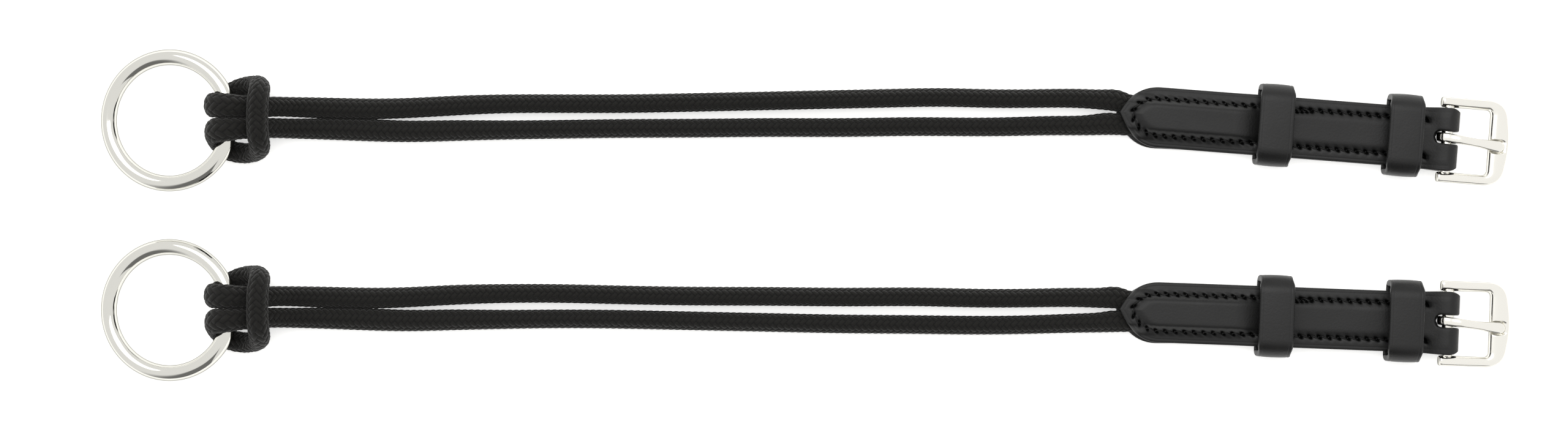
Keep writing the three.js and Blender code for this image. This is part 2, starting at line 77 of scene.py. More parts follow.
def linear(hex_colour, alpha=1.0):
    """An sRGB colour such as "1c1b1a", as the linear numbers that a shader takes."""
    srgb = np.array([int(hex_colour[i : i + 2], 16) / 255 for i in (0, 2, 4)])
    channels = np.where(srgb <= 0.04045, srgb / 12.92, ((srgb + 0.055) / 1.055) ** 2.4)
    return (*channels.tolist(), alpha)


def new_material(name, **values):
    """A material, its node tree and its shader's inputs, some set: Base_Color="1c1b1a" or Roughness=0.5."""
    material = bpy.data.materials.new(name)
    material.use_nodes = True
    tree = material.node_tree
    inputs = tree.nodes["Principled BSDF"].inputs
    for key, value in values.items():
        inputs[key.replace("_", " ")].default_value = linear(value) if isinstance(value, str) else value
    return material, tree, inputs


scene = bpy.context.scene
scene.view_settings.view_transform = "Standard"  # blacks and whites stay as they are
camera = bpy.data.objects.new("camera", bpy.data.cameras.new("camera"))
camera.data.lens = LENS
camera.data.sensor_width = SENSOR
camera.data.clip_start = 0.01
camera.location = (*FRAME_CENTRE, FRAME_WIDTH * LENS / SENSOR)
scene.collection.objects.link(camera)
scene.camera = camera

table_mesh = bpy.data.meshes.new("table")
half = TABLE_SIZE / 2
table_mesh.from_pydata(
    [(-half, -half, 0), (half, -half, 0), (half, half, 0), (-half, half, 0)], [], [(0, 1, 2, 3)]
)
table = bpy.data.objects.new("table", table_mesh)
scene.collection.objects.link(table)
table_paint, _, _ = new_material(
    "table_white_laminate", Base_Color=TABLE_WHITE, Roughness=0.7, Specular_IOR_Level=0.2,
    Emission_Color="ffffff", Emission_Strength=TABLE_GLOW,
)
table_mesh.materials.append(table_paint)

world = bpy.data.worlds.new("white_room")
scene.world = world
world.use_nodes = True
sky = world.node_tree
sky.nodes.clear()
towards = add(sky, "SeparateXYZ", {0: add(sky, "TexCoord").outputs["Generated"]})
forward = add(sky, "Math", {0: towards.outputs[1], 1: -1.0}, operation="MULTIPLY").outputs[0]
aside = add(sky, "Math", {0: towards.outputs[0], 1: forward}, operation="DIVIDE").outputs[0]
edges = [
    (forward, 0.05, 0.12),  # on the table's near side
    (aside, 0.52, 0.44),  # as far as 26 degrees to the right
    (aside, -1.1, -0.35),  # fading out by 48 degrees to the left
    (towards.outputs[2], 0.87, 0.80),  # and up to 55 degrees high
]
dark_part = 1.0
for value, none, full in edges:
    edge = add(sky, "MapRange", {0: value, 1: none, 2: full}, interpolation_type="SMOOTHSTEP").outputs[0]
    dark_part = add(sky, "Math", {0: dark_part, 1: edge}, operation="MULTIPLY").outputs[0]
brightness = add(sky, "MapRange", {0: dark_part, 3: SKY_BRIGHTNESS, 4: DARK_SIDE_BRIGHTNESS}).outputs[0]
backdrop = add(sky, "Background", {0: (1.0, 0.995, 0.985, 1.0), 1: brightness})
add(sky, "OutputWorld", {0: backdrop.outputs[0]})

panel = bpy.data.objects.new("soft_panel", bpy.data.lights.new("soft_panel", "AREA"))
panel.data.shape = "RECTANGLE"
panel.data.size = 1.4
panel.data.size_y = 0.9
panel.data.energy = 6.0
panel.location = (-0.1, 0.5, 1.3)
panel.rotation_euler = (math.radians(-21), 0, 0)
scene.collection.objects.link(panel)

# ---- The cords ---------------------------------------------------------------------------------------------
# Each is one length of 6 mm black nylon cord, braided from 20 strands over two and under two, so that its
# surface is ten rows of slanting floats. It is doubled and looped through the ring in a cow hitch, which
# presses it flatter and wider where it grips the steel, and its ends go in between the strap's two leathers.

SIDES = ("left", "right")
joints = {joint["name"]: joint for joint in frame["joints"]}
CORD_DIAMETER = 6.0
FLOAT_PITCH = 2.03  # from one float to the next along a row
STRANDS_EACH_WAY = 10
BRAID_RELIEF = 0.34
FILAMENTS = 7  # ridges across a float, coarser than the real ones so that they show
BRAID_LEVEL = 0.92  # the height on the braid that the cord is measured to
CORD_RING_STEP = 0.46
CORD_RING_POINTS = 60
BEND_KEEPS = 0.8  # how much of a bend's radius its pressed inside may take up
PRESSED_FROM = 0.7  # and from what share of that it is pressed
SEWN_IN = 38.0  # how far each end goes in between the leathers
GRIPPED_FROM = 9.5  # and from where they grip it

HITCH_X = -181.4  # where the cord grips the ring, and the axis that the ring swings on
HITCH_HEIGHT = 9.1
RING_RADIUS = 20.0  # to the middle of the wire
WRAP_RADIUS = 5.6  # from the wire's middle to the cord's
LOW = 2.8
MOUTH_HEIGHT = 3.6
MOUTH_ACROSS = 3.2
STRAND_HEIGHT = 3.05
STRAND_SWELL = {1: 0.25, -1: 0.45}  # how much wider a strand lies near the hitch
BAR_FROM_TIP = 104.4  # from the strap's point to the buckle's bar
ring_y = {side: joints[side + "_ring_swing"]["pos_m"][1] / MM for side in SIDES}

# the middle of each strand, along and across, from the hitch to the strap
STRANDS = {
    ("left", 1): [
        [-155.1, 4.1], [-139, 3.7], [-127, 3.95], [-112, 4.7], [-96, 5.3], [-80, 5.4], [-57, 5.4], [-34, 5.8],
        [-10, 6.3], [13, 6.8], [29, 7.15], [44, 7.35], [60, 7.0], [75, 7.05], [88, 7.0], [95, 6.5],
        [99.4, 5.6],
    ],
    ("left", -1): [
        [-155.1, -2.65], [-139, -3.0], [-127, -3.4], [-112, -3.2], [-96, -3.0], [-80, -2.8], [-57, -2.5],
        [-34, -2.4], [-10, -2.2], [13, -2.2], [36, -1.9], [60, -2.0], [80, -1.6], [91, -1.4], [99.2, -1.2],
    ],
    ("right", 1): [
        [-155.1, 4.1], [-139, 3.7], [-127, 3.95], [-112, 4.7], [-96, 5.15], [-80, 5.2], [-65, 4.9],
        [-49, 4.55], [-34, 4.35], [-10, 4.25], [13, 4.05], [36, 4.1], [56, 3.7], [75, 3.8], [88, 3.9],
        [95, 3.7], [99.4, 3.15],
    ],
    ("right", -1): [
        [-155.1, -2.65], [-139, -3.0], [-127, -3.4], [-112, -3.2], [-96, -3.06], [-80, -2.9], [-57, -3.06],
        [-34, -3.55], [-10, -4.05], [13, -4.5], [36, -4.7], [56, -4.9], [75, -4.6], [88, -4.2], [95, -3.9],
        [99.2, -3.65],
    ],
}


def smooth(x, low, high):
    """0 up to low, 1 from high, and 3t^2 - 2t^3 between."""
    t = np.clip((x - low) / (high - low), 0, 1)
    return t * t * (3 - 2 * t)


def hitch_half(hand):
    """One half of the hitch, from the strand to the bight: place, outward direction, half thickness and
    width."""
    r, h, s = WRAP_RADIUS, HITCH_HEIGHT, WRAP_RADIUS * math.sqrt(0.5)
    cross = h + 7.5
    rows = np.array([
        # x, y of the +Y half, y of the -Y half, z, how far it follows the ring's bow, outward x, y, z, half
        # thickness and half width
        [24.0, 4.15, -2.6, 3.05, 0, 0, 0, 1, 3.0, 3.3],
        [19.0, 4.3, -2.55, 3.6, 0, 0.1, 0, 1, 3.0, 3.2],
        [13.5, 4.35, -2.45, 5.9, 0, 0.4, 0, 0.9, 2.9, 3.2],
        [9.0, 4.15, -2.5, 9.1, 0, 0.6, 0, 0.8, 2.85, 3.35],
        [s, 4.25, -2.6, h + s + 0.2, 1, 0.7, 0, 0.7, 2.85, 3.6],
        [0.0, 4.5, -3.0, h + r + 0.1, 1, 0, 0, 1, 2.8, 3.85],
        [-s, 4.65, -3.4, h + s, 1, -0.7, 0, 0.7, 2.65, 3.95],
        [-5.1, 4.8, -4.2, h, 1, -1, 0, 0, 2.5, 3.7],
        [-s, 5.6, -6.0, h - s, 1, -0.7, 0, -0.7, 2.55, 3.3],
        [-0.4, 7.8, -8.8, LOW - 0.1, 1, 0, 0, -1, 2.5, 3.25],
        [3.4, 10.0, -10.2, LOW + 0.1, 0.5, 0.1, 0.2 * hand, -1, 2.55, 3.35],
        [7.0, 11.1, -10.3, LOW + 2.8, 0, 0.5, 0.6 * hand, -0.4, 2.75, 3.3],
        [9.3, 11.2, -9.6, LOW + 6.9, 0, 0.4, 0.8 * hand, 0.1, 2.8, 3.2],
        [10.0, 9.5, -7.6, cross - 2.4, 0, 0.2, 0.6 * hand, 0.8, 2.8, 3.4],
        [9.8, 5.6, -4.2, cross, 0, 0, 0.1 * hand, 1, 2.75, 3.5],
    ])
    rows = np.delete(rows, 2 if hand > 0 else 1, axis=1)
    bow = np.sqrt(RING_RADIUS**2 - rows[:, 1] ** 2) - RING_RADIUS
    rows[:, 0] += HITCH_X + rows[:, 3] * bow
    return np.delete(rows, 3, axis=1)


def strap_place(side, u, v, z):
    """Points given along, across and above the strap, from its point, as millimetres in the row frame."""
    hinge = joints[side + "_buckle_swing"]
    bar = np.array(hinge["pos_m"]) / MM
    across = np.array(hinge["axis"])
    along = np.array([across[1], -across[0], 0.0])
    u, v, z = np.broadcast_arrays(u, v, z)
    flat = bar + (u - BAR_FROM_TIP)[..., None] * along + v[..., None] * across
    return np.stack([flat[..., 0], flat[..., 1], z], axis=-1)


def strand_rows(side, hand):
    """A strand from the hitch to where it ends between the leathers, in the same columns as hitch_half."""
    route = np.array(STRANDS[side, hand], float)
    count = len(route)
    rows = np.zeros((count, 8))
    rows[:, :2] = route
    rise = np.zeros(count)
    rise[-3:] = 0.12, 0.55, 1.0
    rows[:, 2] = STRAND_HEIGHT + (MOUTH_HEIGHT - STRAND_HEIGHT) * rise
    rows[:, 5] = 1.0
    rows[:, 6] = CORD_DIAMETER / 2
    rows[:, 7] = CORD_DIAMETER / 2 + STRAND_SWELL[hand] * (1 - smooth(route[:, 0], -125.0, -85.0))
    rows[:2, 7] += 0.12
    rows[-3:, 6] = 2.95, 2.8, 2.1
    rows[-3:, 7] = 3.1, 3.3, 3.45
    rows[-2:, 1] += (0.15, 0.65) if hand > 0 else (0.0, 0.0)
    inside = np.zeros((6, 8))
    far_in = np.array([3.0, 6.0, 10.0, 18.0, 28.0, SEWN_IN])
    inside[:, :3] = strap_place(side, far_in, hand * np.array([3.5, 3.4, 3.3, 3.2, 3.2, 3.2]), MOUTH_HEIGHT)
    inside[:, 1] -= ring_y[side]
    inside[:, 5:] = 1.0, 1.5, 3.1
    return np.vstack([rows, inside])


def spline(rows, step):
    """A natural cubic spline through rows of values, by chord length, read at even steps along its path."""
    chord = np.linalg.norm(np.diff(rows[:, :3], axis=0), axis=1)
    t = np.concatenate([[0.0], np.cumsum(chord)])
    n = len(t)
    system, load = np.zeros((n, n)), np.zeros((n, rows.shape[1]))
    system[0, 0] = system[-1, -1] = 1.0
    i = np.arange(1, n - 1)
    before, after = chord[i - 1], chord[i]
    system[i, i - 1], system[i, i], system[i, i + 1] = before, 2 * (before + after), after
    slope = np.diff(rows, axis=0) / chord[:, None]
    load[i] = 6 * (slope[i] - slope[i - 1])
    bend = np.linalg.solve(system, load)

    def read(at):
        """The rows at these lengths along the chords: on each span a cubic blend of its two ends."""
        k = np.clip(np.searchsorted(t, at, side="right") - 1, 0, n - 2)
        a, b, span = (at - t[k])[:, None], (t[k + 1] - at)[:, None], chord[k][:, None]
        cubic = (bend[k] * b**3 + bend[k + 1] * a**3) / (6 * span)
        cubic += (rows[k] / span - bend[k] * span / 6) * b
        return cubic + (rows[k + 1] / span - bend[k + 1] * span / 6) * a

    fine = np.linspace(0, t[-1], 8 * n * 20)
    travelled = np.concatenate([[0.0], np.cumsum(np.linalg.norm(np.diff(read(fine)[:, :3], axis=0), axis=1))])
    even = np.linspace(0, travelled[-1], int(travelled[-1] / step) + 1)
    return read(np.interp(even, travelled, fine)), even


def surface(name, grid, uv=None):
    """A closed tube over a grid of points in millimetres, rows by columns. The last column joins the first,
    and each end row is closed by a fan from its middle. uv is the rows' v and the columns' u."""
    rows, columns = grid.shape[:2]
    ends = np.stack([grid[0].mean(0), grid[-1].mean(0)])
    points = np.vstack([grid.reshape(-1, 3), ends]) * MM
    row, column = (index.ravel() for index in np.indices((rows - 1, columns)))
    right, near, far = (column + 1) % columns, row * columns, (row + 1) * columns
    quads = np.stack([near + column, near + right, far + right, far + column], -1)
    first = np.arange(columns)
    second = (first + 1) % columns
    start_fan = np.stack([np.full(columns, rows * columns), second, first], -1)
    last = (rows - 1) * columns
    end_fan = np.stack([np.full(columns, rows * columns + 1), last + first, last + second], -1)
    fans = np.vstack([start_fan, end_fan])
    a, b, c, d = (points[quads[:, corner]] for corner in range(4))
    middle = points.mean(0)
    inward = np.einsum("ij,ij->i", np.cross(c - a, d - b), (a + c) / 2 - middle).sum() < 0
    if inward:
        quads, fans = quads[:, ::-1], fans[:, ::-1]
    mesh = bpy.data.meshes.new(name)
    mesh.vertices.add(len(points))
    mesh.vertices.foreach_set("co", points.ravel())
    corners = np.concatenate([quads.ravel(), fans.ravel()])
    mesh.loops.add(len(corners))
    mesh.loops.foreach_set("vertex_index", corners.astype(np.int32))
    starts = np.concatenate([np.arange(len(quads)) * 4, 4 * len(quads) + np.arange(len(fans)) * 3])
    mesh.polygons.add(len(starts))
    mesh.polygons.foreach_set("loop_start", starts.astype(np.int32))
    mesh.polygons.foreach_set("use_smooth", np.ones(len(starts), bool))
    if uv is not None:
        v_of_row, u_of_column = uv
        u = np.stack([u_of_column[column], u_of_column[column + 1]] * 2, -1)[:, [0, 1, 3, 2]]
        v = np.stack([v_of_row[row], v_of_row[row], v_of_row[row + 1], v_of_row[row + 1]], -1)
        if inward:
            u, v = u[:, ::-1], v[:, ::-1]
        flat = np.zeros((len(corners), 2))
        flat[: quads.size] = np.stack([u.ravel(), v.ravel()], -1)
        mesh.uv_layers.new(name="UVMap").data.foreach_set("uv", flat.ravel())
    mesh.update(calc_edges=True)
    mesh.validate()
    piece = bpy.data.objects.new(name, mesh)
    scene.collection.objects.link(piece)
    return piece


def cord_centreline(side):
    """The whole cord: out of the strap, along one strand, through the hitch and back along the other."""
    halves = [np.vstack([strand_rows(side, hand)[::-1][:-1], hitch_half(hand)]) for hand in (1, -1)]
    bight = halves[0][-1].copy()
    bight[0] -= 0.1
    bight[1] = (halves[0][-1][1] + halves[1][-1][1]) / 2
    bight[2] += 0.3
    rows = np.vstack([halves[0], bight[None], halves[1][::-1]])
    rows[:, 1] += ring_y[side]
    return spline(rows, CORD_RING_STEP)


def braid(turn, along):
    """Height of the braid, 0 in the gaps and 1 on a float's back. a and b count the strands of each slant,
    and the upper of the two changes after every second crossing, in step along the cord, which makes the
    rows."""
    a = STRANDS_EACH_WAY * turn - along / FLOAT_PITCH
    b = STRANDS_EACH_WAY * turn + along / FLOAT_PITCH
    i, j = np.floor(a), np.floor(b)
    phase = np.mod(i + j, 4)
    upper = phase < 2
    across = np.where(upper, a - i, b - j) * 2 - 1
    lengthwise = np.where(upper, np.mod(i + b, 4), np.mod(a + j, 4) - 2) - 1
    return np.sqrt(np.clip(1 - across**2, 0, 1)) * np.clip(1 - lengthwise**4, 0, 1) ** 0.5


def unit(vectors):
    """Each row at length 1."""
    return vectors / np.linalg.norm(vectors, axis=1, keepdims=True)


def cord_skin(side):
    """An ellipse carried along the centreline, raised by the braid. Its points are centre + (thick + h)
    cos(turn) outward + (wide + h) sin(turn) sideways, and in a tight bend the inner ones are pressed flat
    before they can pass the middle of the bend."""
    rows, along = cord_centreline(side)
    centre, outward = rows[:, :3], rows[:, 3:6]
    tangent = unit(np.gradient(centre, axis=0))
    outward = unit(outward - np.einsum("ij,ij->i", outward, tangent)[:, None] * tangent)
    sideways = np.cross(tangent, outward)
    turn = np.arange(CORD_RING_POINTS) / CORD_RING_POINTS
    angle = 2 * math.pi * turn
    relief = BRAID_RELIEF * (braid(turn[None, :], along[:, None]) - BRAID_LEVEL)
    thick = (rows[:, 6:7] + relief) * np.cos(angle)
    wide = (rows[:, 7:8] + relief) * np.sin(angle)
    offset = thick[..., None] * outward[:, None] + wide[..., None] * sideways[:, None]
    bend = np.gradient(tangent, axis=0) / CORD_RING_STEP
    bend = (np.roll(bend, 1, 0) + 2 * bend + np.roll(bend, -1, 0)) / 4
    tightness = np.linalg.norm(bend, axis=1, keepdims=True)
    inwards = bend / np.maximum(tightness, 1e-9)
    reach = np.einsum("ijk,ik->ij", offset, inwards)
    room = BEND_KEEPS / np.maximum(tightness, 1e-3)
    free, over = PRESSED_FROM * room, (1 - PRESSED_FROM) * room
    pressed = np.where(reach > free, free + over * np.tanh((reach - free) / over), reach)
    offset += (pressed - reach)[..., None] * inwards[:, None]
    uv = (along / (FLOAT_PITCH * STRANDS_EACH_WAY), np.append(turn, 1.0))
    return surface(side + "_cord", centre[:, None] + offset, uv), centre


def braided_nylon():
    """Black multifilament nylon, nearly matt: fine filaments along each slanting float, and painted shade
    that darkens the gaps between them."""
    material, tree, shader = new_material(
        "braided_nylon_cord", Roughness=0.68, Specular_IOR_Level=0.2, Sheen_Weight=0.12, Sheen_Roughness=0.5
    )
    uv = add(tree, "SeparateXYZ", {0: add(tree, "UVMap", uv_map="UVMap").outputs[0]})
    places = add(tree, "TexCoord").outputs["Object"]
    fuzz = add(tree, "TexNoise", {"Vector": places, "Scale": 900.0, "Detail": 3.0}).outputs[0]
    steps = {"u": uv.outputs[0], "v": uv.outputs[1], "fuzz": fuzz}
    strands = float(STRANDS_EACH_WAY)
    for result, kind, *values in (
        ("turn", "MULTIPLY", "u", strands), ("lead", "MULTIPLY", "v", strands),
        ("a", "SUBTRACT", "turn", "lead"), ("b", "ADD", "turn", "lead"),  # the strands of each slant, counted
        ("i", "FLOOR", "a"), ("j", "FLOOR", "b"), ("i + j", "ADD", "i", "j"),
        ("phase", "FLOORED_MODULO", "i + j", 4.0), ("upper", "LESS_THAN", "phase", 1.5),
        ("in a", "SUBTRACT", "a", "i"), ("in b", "SUBTRACT", "b", "j"),
        ("across", "Mix", "upper", "in b", "in a"),
        ("i + b", "ADD", "i", "b"), ("span a", "FLOORED_MODULO", "i + b", 4.0),
        ("a + j", "ADD", "a", "j"), ("a + j in four", "FLOORED_MODULO", "a + j", 4.0),
        ("span b", "SUBTRACT", "a + j in four", 2.0), ("span", "Mix", "upper", "span b", "span a"),
        ("lengthwise", "SUBTRACT", "span", 1.0), ("end", "POWER", "lengthwise", 4.0),
        ("sideways", "MULTIPLY_ADD", "across", 2.0, -1.0), ("square", "MULTIPLY", "sideways", "sideways"),
        ("flank", "POWER", "square", 1.5), ("gap", "MAXIMUM", "end", "flank"),
        ("ridges", "MULTIPLY", "across", 2 * math.pi * FILAMENTS), ("filaments", "SINE", "ridges"),
        ("back", "SUBTRACT", 1.0, "gap"), ("height", "MULTIPLY_ADD", "filaments", 0.07, "back"),
        ("fuzzy height", "MULTIPLY_ADD", "fuzz", 0.25, "height"),
    ):
        values = [steps.get(value, value) for value in values]
        if kind == "Mix":
            node = add(tree, kind, dict(zip((0, 2, 3), values)))
        else:
            node = add(tree, "Math", dict(enumerate(values)), operation=kind)
        steps[result] = node.outputs[0]
    bump = add(tree, "Bump", {"Strength": 0.9, "Distance": 0.25 * MM, "Height": steps["fuzzy height"]})
    # painted shade: the base colour goes darker in the gaps between the floats, where shade falls
    painted_gap_shade = add(tree, "ValToRGB", {0: steps["gap"]})
    painted_gap_shade.color_ramp.elements[0].color = linear("13120f")
    painted_gap_shade.color_ramp.elements[0].position = 0.25
    painted_gap_shade.color_ramp.elements[1].color = linear("030303")
    tree.links.new(painted_gap_shade.outputs[0], shader["Base Color"])
    tree.links.new(bump.outputs[0], shader["Normal"])
    return material


def fit(piece, material, body, slot, *nodes):
    """Gives a piece its material and the body it rides on, and hides the nodes of the frame that it replaces.
    The slot is not used."""
    piece.data.materials.append(material)
    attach(piece, body)
    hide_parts(*nodes)


nylon = braided_nylon()
for side in SIDES:
    cord, centreline = cord_skin(side)
    nodes = (side + "_cord_" + part for part in ("hitch", "strand_a", "strand_b", "tail_a", "tail_b"))
    fit(cord, nylon, side + "_cheekpiece", "cord", *nodes)
    mouth = strap_place(side, GRIPPED_FROM, MOUTH_ACROSS, MOUTH_HEIGHT) * MM

# ---- The rings ---------------------------------------------------------------------------------------------
# Each rein ring is 5 mm stainless wire, bent round, welded, ground smooth and polished to a mirror. Its far
# side rests on the table and its near side on the hitch, so it leans a little.

RING_WIRE = 5.0
RING_LEAN = math.asin((HITCH_HEIGHT - RING_WIRE / 2 - 0.05) / (2 * RING_RADIUS))
STEEL_EDGE = "84847f"  # steel reflects less where it turns away


def ring_skin(side):
    """A round wire bent into a circle: a circle of the wire's radius carried round a circle of
    RING_RADIUS."""
    round_ring = np.linspace(0, 2 * math.pi, 257)[:-1, None]
    round_wire = np.linspace(0, 2 * math.pi, 41)[:-1][None, :]
    reach = RING_RADIUS + RING_WIRE / 2 * np.cos(round_wire)
    x = reach * np.cos(round_ring) - RING_RADIUS
    y = reach * np.sin(round_ring)
    z = RING_WIRE / 2 * np.sin(round_wire) + 0 * round_ring
    lean = (math.cos(RING_LEAN), math.sin(RING_LEAN))
    grid = np.stack(
        [HITCH_X + x * lean[0] - z * lean[1], ring_y[side] + y, HITCH_HEIGHT + x * lean[1] + z * lean[0]], -1
    )
    return closed_both_ways(side + "_ring_polished", grid)


def closed_both_ways(name, grid):
    """A closed mesh over a grid of points whose last row and last column join their first."""
    rows, columns = grid.shape[:2]
    number = np.arange(rows * columns).reshape(rows, columns)
    following = np.roll(number, -1, axis=0)
    quads = np.stack([number, following, np.roll(following, -1, axis=1), np.roll(number, -1, axis=1)], -1)
    return fill(name, grid.reshape(-1, 3), quads.reshape(-1, 4))


def fill(name, points, quads, sharp=180, awl_hole_depth_and_shade=None):
    """A mesh object from points in millimetres and four-cornered faces. Points in the same place become
    one, a face that loses corners loses sides, and edges bent past the sharp angle stay crisp."""
    places, first, same = np.unique(np.round(points, 4), axis=0, return_index=True, return_inverse=True)
    quads = same.reshape(-1)[quads]
    distinct = quads != np.roll(quads, 1, axis=1)
    faces = [face[keep].tolist() for face, keep in zip(quads, distinct) if keep.sum() > 2]
    mesh = bpy.data.meshes.new(name)
    mesh.from_pydata((points[first] * MM).tolist(), [], faces)
    mesh.validate()
    shell = bmesh.new()
    shell.from_mesh(mesh)
    bmesh.ops.recalc_face_normals(shell, faces=shell.faces)
    shell.to_mesh(mesh)
    shell.free()
    mesh.shade_smooth()
    if sharp < 180:
        mesh.set_sharp_from_angle(angle=math.radians(sharp))
    if awl_hole_depth_and_shade is not None:
        mesh.attributes.new("awl_hole_depth_and_shade", "FLOAT", "POINT").data.foreach_set("value", awl_hole_depth_and_shade[first])
    piece = bpy.data.objects.new(name, mesh)
    scene.collection.objects.link(piece)
    return piece


def stainless(name, colour, roughness, brush):
    """Polished stainless steel: a warm, bright mirror, softened a little by the polishing mop's faint
    lines."""
    material, tree, shader = new_material(name, Metallic=1.0, Base_Color=colour, Specular_Tint=STEEL_EDGE)
    places = add(tree, "TexCoord").outputs["Object"]
    haze = add(tree, "TexNoise", {"Vector": places, "Scale": 160.0, "Detail": 3.0}).outputs[0]
    sheen = {0: haze, 1: 0.3, 2: 0.7, 3: roughness * 0.8, 4: roughness * 1.3}
    lines = add(tree, "Mapping", {"Vector": places, "Scale": (300.0, 2500.0, 2500.0)}).outputs[0]
    scratches = add(tree, "TexNoise", {"Vector": lines, "Scale": 1.0, "Detail": 2.0}).outputs[0]
    bump = add(tree, "Bump", {"Strength": brush, "Distance": 0.01 * MM, "Height": scratches})
    tree.links.new(add(tree, "MapRange", sheen).outputs[0], shader["Roughness"])
    tree.links.new(bump.outputs[0], shader["Normal"])
    return material


ring_steel = stainless("polished_stainless_wire", "dddcd6", 0.07, 0.12)
for side in SIDES:
    fit(ring_skin(side), ring_steel, side + "_ring_body", "steel", side + "_ring")

# ---- The straps --------------------------------------------------------------------------------------------
# Each strap is one strip of black bridle leather about 19 mm wide, its ends cut to rounded points. It is
# folded round the buckle's bar and stitched to itself, with the cord's ends sewn in under the front
# leather. The edges are creased with a hot iron, the stitch line is sunk, and the middle stands up between
# the two rows.

STRAP_HALF = 9.6
LEATHER = 1.9
TIP_LENGTH = 13.0
TIP_SKEW = 0.7  # the point is off the centreline by this
BAR_HEIGHT = 3.95
FOLD_INSIDE = 2.05
FOLD_DRAWN = 0.16  # how much thinner the leather is drawn round the bar
TAIL_GAP = 3.4  # between the leathers over the cord's ends
FILLER_GAP = 1.8  # and over the middle leather
THIN_GAP = 0.3
NECK = 96.5  # the leathers part here to go round the bar
CROWN = (3.6, 7.6)  # the front leather comes down between these distances from the middle
EDGE_ROUND = 0.55
CREASE = 1.15  # from the edge to the crease
STITCH_MARGIN = 3.7
SLOT_START = 99.7
SLOT_HALF = 2.0
SLOT_MIDDLE = (0.75, 0.6)  # at its closed end and at the fold
SLOT_SHORTER = 1.4  # underneath
STITCH_PITCH = 3.05
STITCH_END = 97.2
AWL_SLANT = -42  # degrees from the row
AWL_HOLE = (1.15, 0.55, 0.6)  # half its length, half its width and its depth
SHINE = 0.42  # how strongly the waxed face reflects
# where the rows are sewn twice: from, to and the side
BACK_TACKS = ((97.2, 92.4, 1), (97.2, 94.1, -1), (60.4, 54.2, 1))
BACK_PEEP = 0.9  # the back leather's point shows beyond the front one's by this
FOLD_PINCH = 1.1  # and its corners are drawn in by this
FLARE = 0.45  # the fold is this much wider on each side than the strap


def layer_gap(u, v):
    """The height between the two leathers: crowned over the cord's ends, level over the filler, open at the
    bar."""
    middle = TAIL_GAP + (FILLER_GAP - TAIL_GAP) * smooth(u, 36.5, 47.0)
    edge = THIN_GAP + (FILLER_GAP - THIN_GAP) * smooth(u, 36.0, 43.4)
    crowned = edge + (middle - edge) * (1 - smooth(np.abs(v), *CROWN))
    return crowned + (2 * FOLD_INSIDE - FILLER_GAP) * smooth(u, NECK, BAR_FROM_TIP)


def bezier(ends, t):
    """A cubic curve through four points, at the shares t."""
    a, b, c, d = np.array(ends, float)
    t = t[:, None]
    return a * (1 - t) ** 3 + 3 * b * t * (1 - t) ** 2 + 3 * c * t * t * (1 - t) + d * t**3


def point_edge(hand):
    """One side of the strap's rounded point, from its tip to where the side runs straight."""
    rise = STRAP_HALF * 0.46
    ends = [
        (0, TIP_SKEW), (TIP_LENGTH * 0.17, TIP_SKEW + hand * rise),
        (TIP_LENGTH * 0.46, hand * STRAP_HALF), (TIP_LENGTH, hand * STRAP_HALF),
    ]
    return bezier(ends, np.linspace(0, 1, 56))


def inward_from_edge(u, v):
    """How far in from the strap's edge a point is. It is measured to the drawn outline near the strap's
    point."""
    sides = STRAP_HALF - np.abs(v)
    outline = np.vstack([point_edge(-1)[::-1], point_edge(1)])
    near = u < TIP_LENGTH + 4
    gaps = np.hypot(u[near][:, None] - outline[:, 0], v[near][:, None] - outline[:, 1]).min(1)
    inward = sides.copy()
    inward[near] = np.minimum(gaps, np.maximum(sides[near], 0))
    return inward


def stitch_path():
    """The line of the front stitching on the plan, from the buckle down one side, round the point and
    back."""
    nose = STITCH_MARGIN + 0.45
    row = STRAP_HALF - STITCH_MARGIN
    half = bezier(
        [(TIP_LENGTH, row), (TIP_LENGTH * 0.62, row), (nose, row * 0.55), (nose, 0)], np.linspace(0, 1, 40)
    )
    one = np.vstack([[STITCH_END, row], half])
    other = one[::-1] * (1, -1)
    line = np.vstack([one, other[1:]])
    line[:, 1] += 0.75 * TIP_SKEW * (1 - smooth(line[:, 0], 2.0, TIP_LENGTH))
    return line


def even_points(line, pitch):
    """Points along a plan line at equal steps as near as can be to the pitch, and the line's direction
    there."""
    steps = np.linalg.norm(np.diff(line, axis=0), axis=1)
    travelled = np.concatenate([[0.0], np.cumsum(steps)])
    at = np.linspace(0, travelled[-1], int(round(travelled[-1] / pitch)) + 1)
    places = np.stack([np.interp(at, travelled, line[:, k]) for k in range(2)], -1)
    ahead = np.stack([np.interp(at + 0.05, travelled, line[:, k]) for k in range(2)], -1)
    behind = np.stack([np.interp(at - 0.05, travelled, line[:, k]) for k in range(2)], -1)
    return places, unit(ahead - behind), at


def awl_holes(u, v):
    """1 in the middle of a stitch hole, falling off round it. The awl's blade makes each a slanting slit."""
    rows = [even_points(stitch_path(), STITCH_PITCH), *(tack_line(*tack) for tack in BACK_TACKS)]
    holes, heading = (np.vstack([row[k] for row in rows]) for k in range(2))
    awl_hole_depth_and_shade = np.zeros_like(u)
    close = np.abs(inward_from_edge(u, v) - STITCH_MARGIN) < 1.8
    du = u[close][:, None] - holes[:, 0]
    dv = v[close][:, None] - holes[:, 1]
    slant = math.radians(AWL_SLANT)
    along = du * heading[:, 0] + dv * heading[:, 1]
    aside = dv * heading[:, 0] - du * heading[:, 1]
    long_way = along * math.cos(slant) + aside * math.sin(slant)
    short_way = -along * math.sin(slant) + aside * math.cos(slant)
    awl_hole_depth_and_shade[close] = np.exp(-((long_way / AWL_HOLE[0]) ** 2 + (short_way / AWL_HOLE[1]) ** 2).min(1))
    return awl_hole_depth_and_shade


def tack_line(start, end, hand):
    """The holes of a few stitches sewn over again, just inside the row."""
    across = hand * (STRAP_HALF - STITCH_MARGIN - 0.25)
    return even_points(np.array([[start, across], [end, across - hand * 0.5]], float), 1.55)


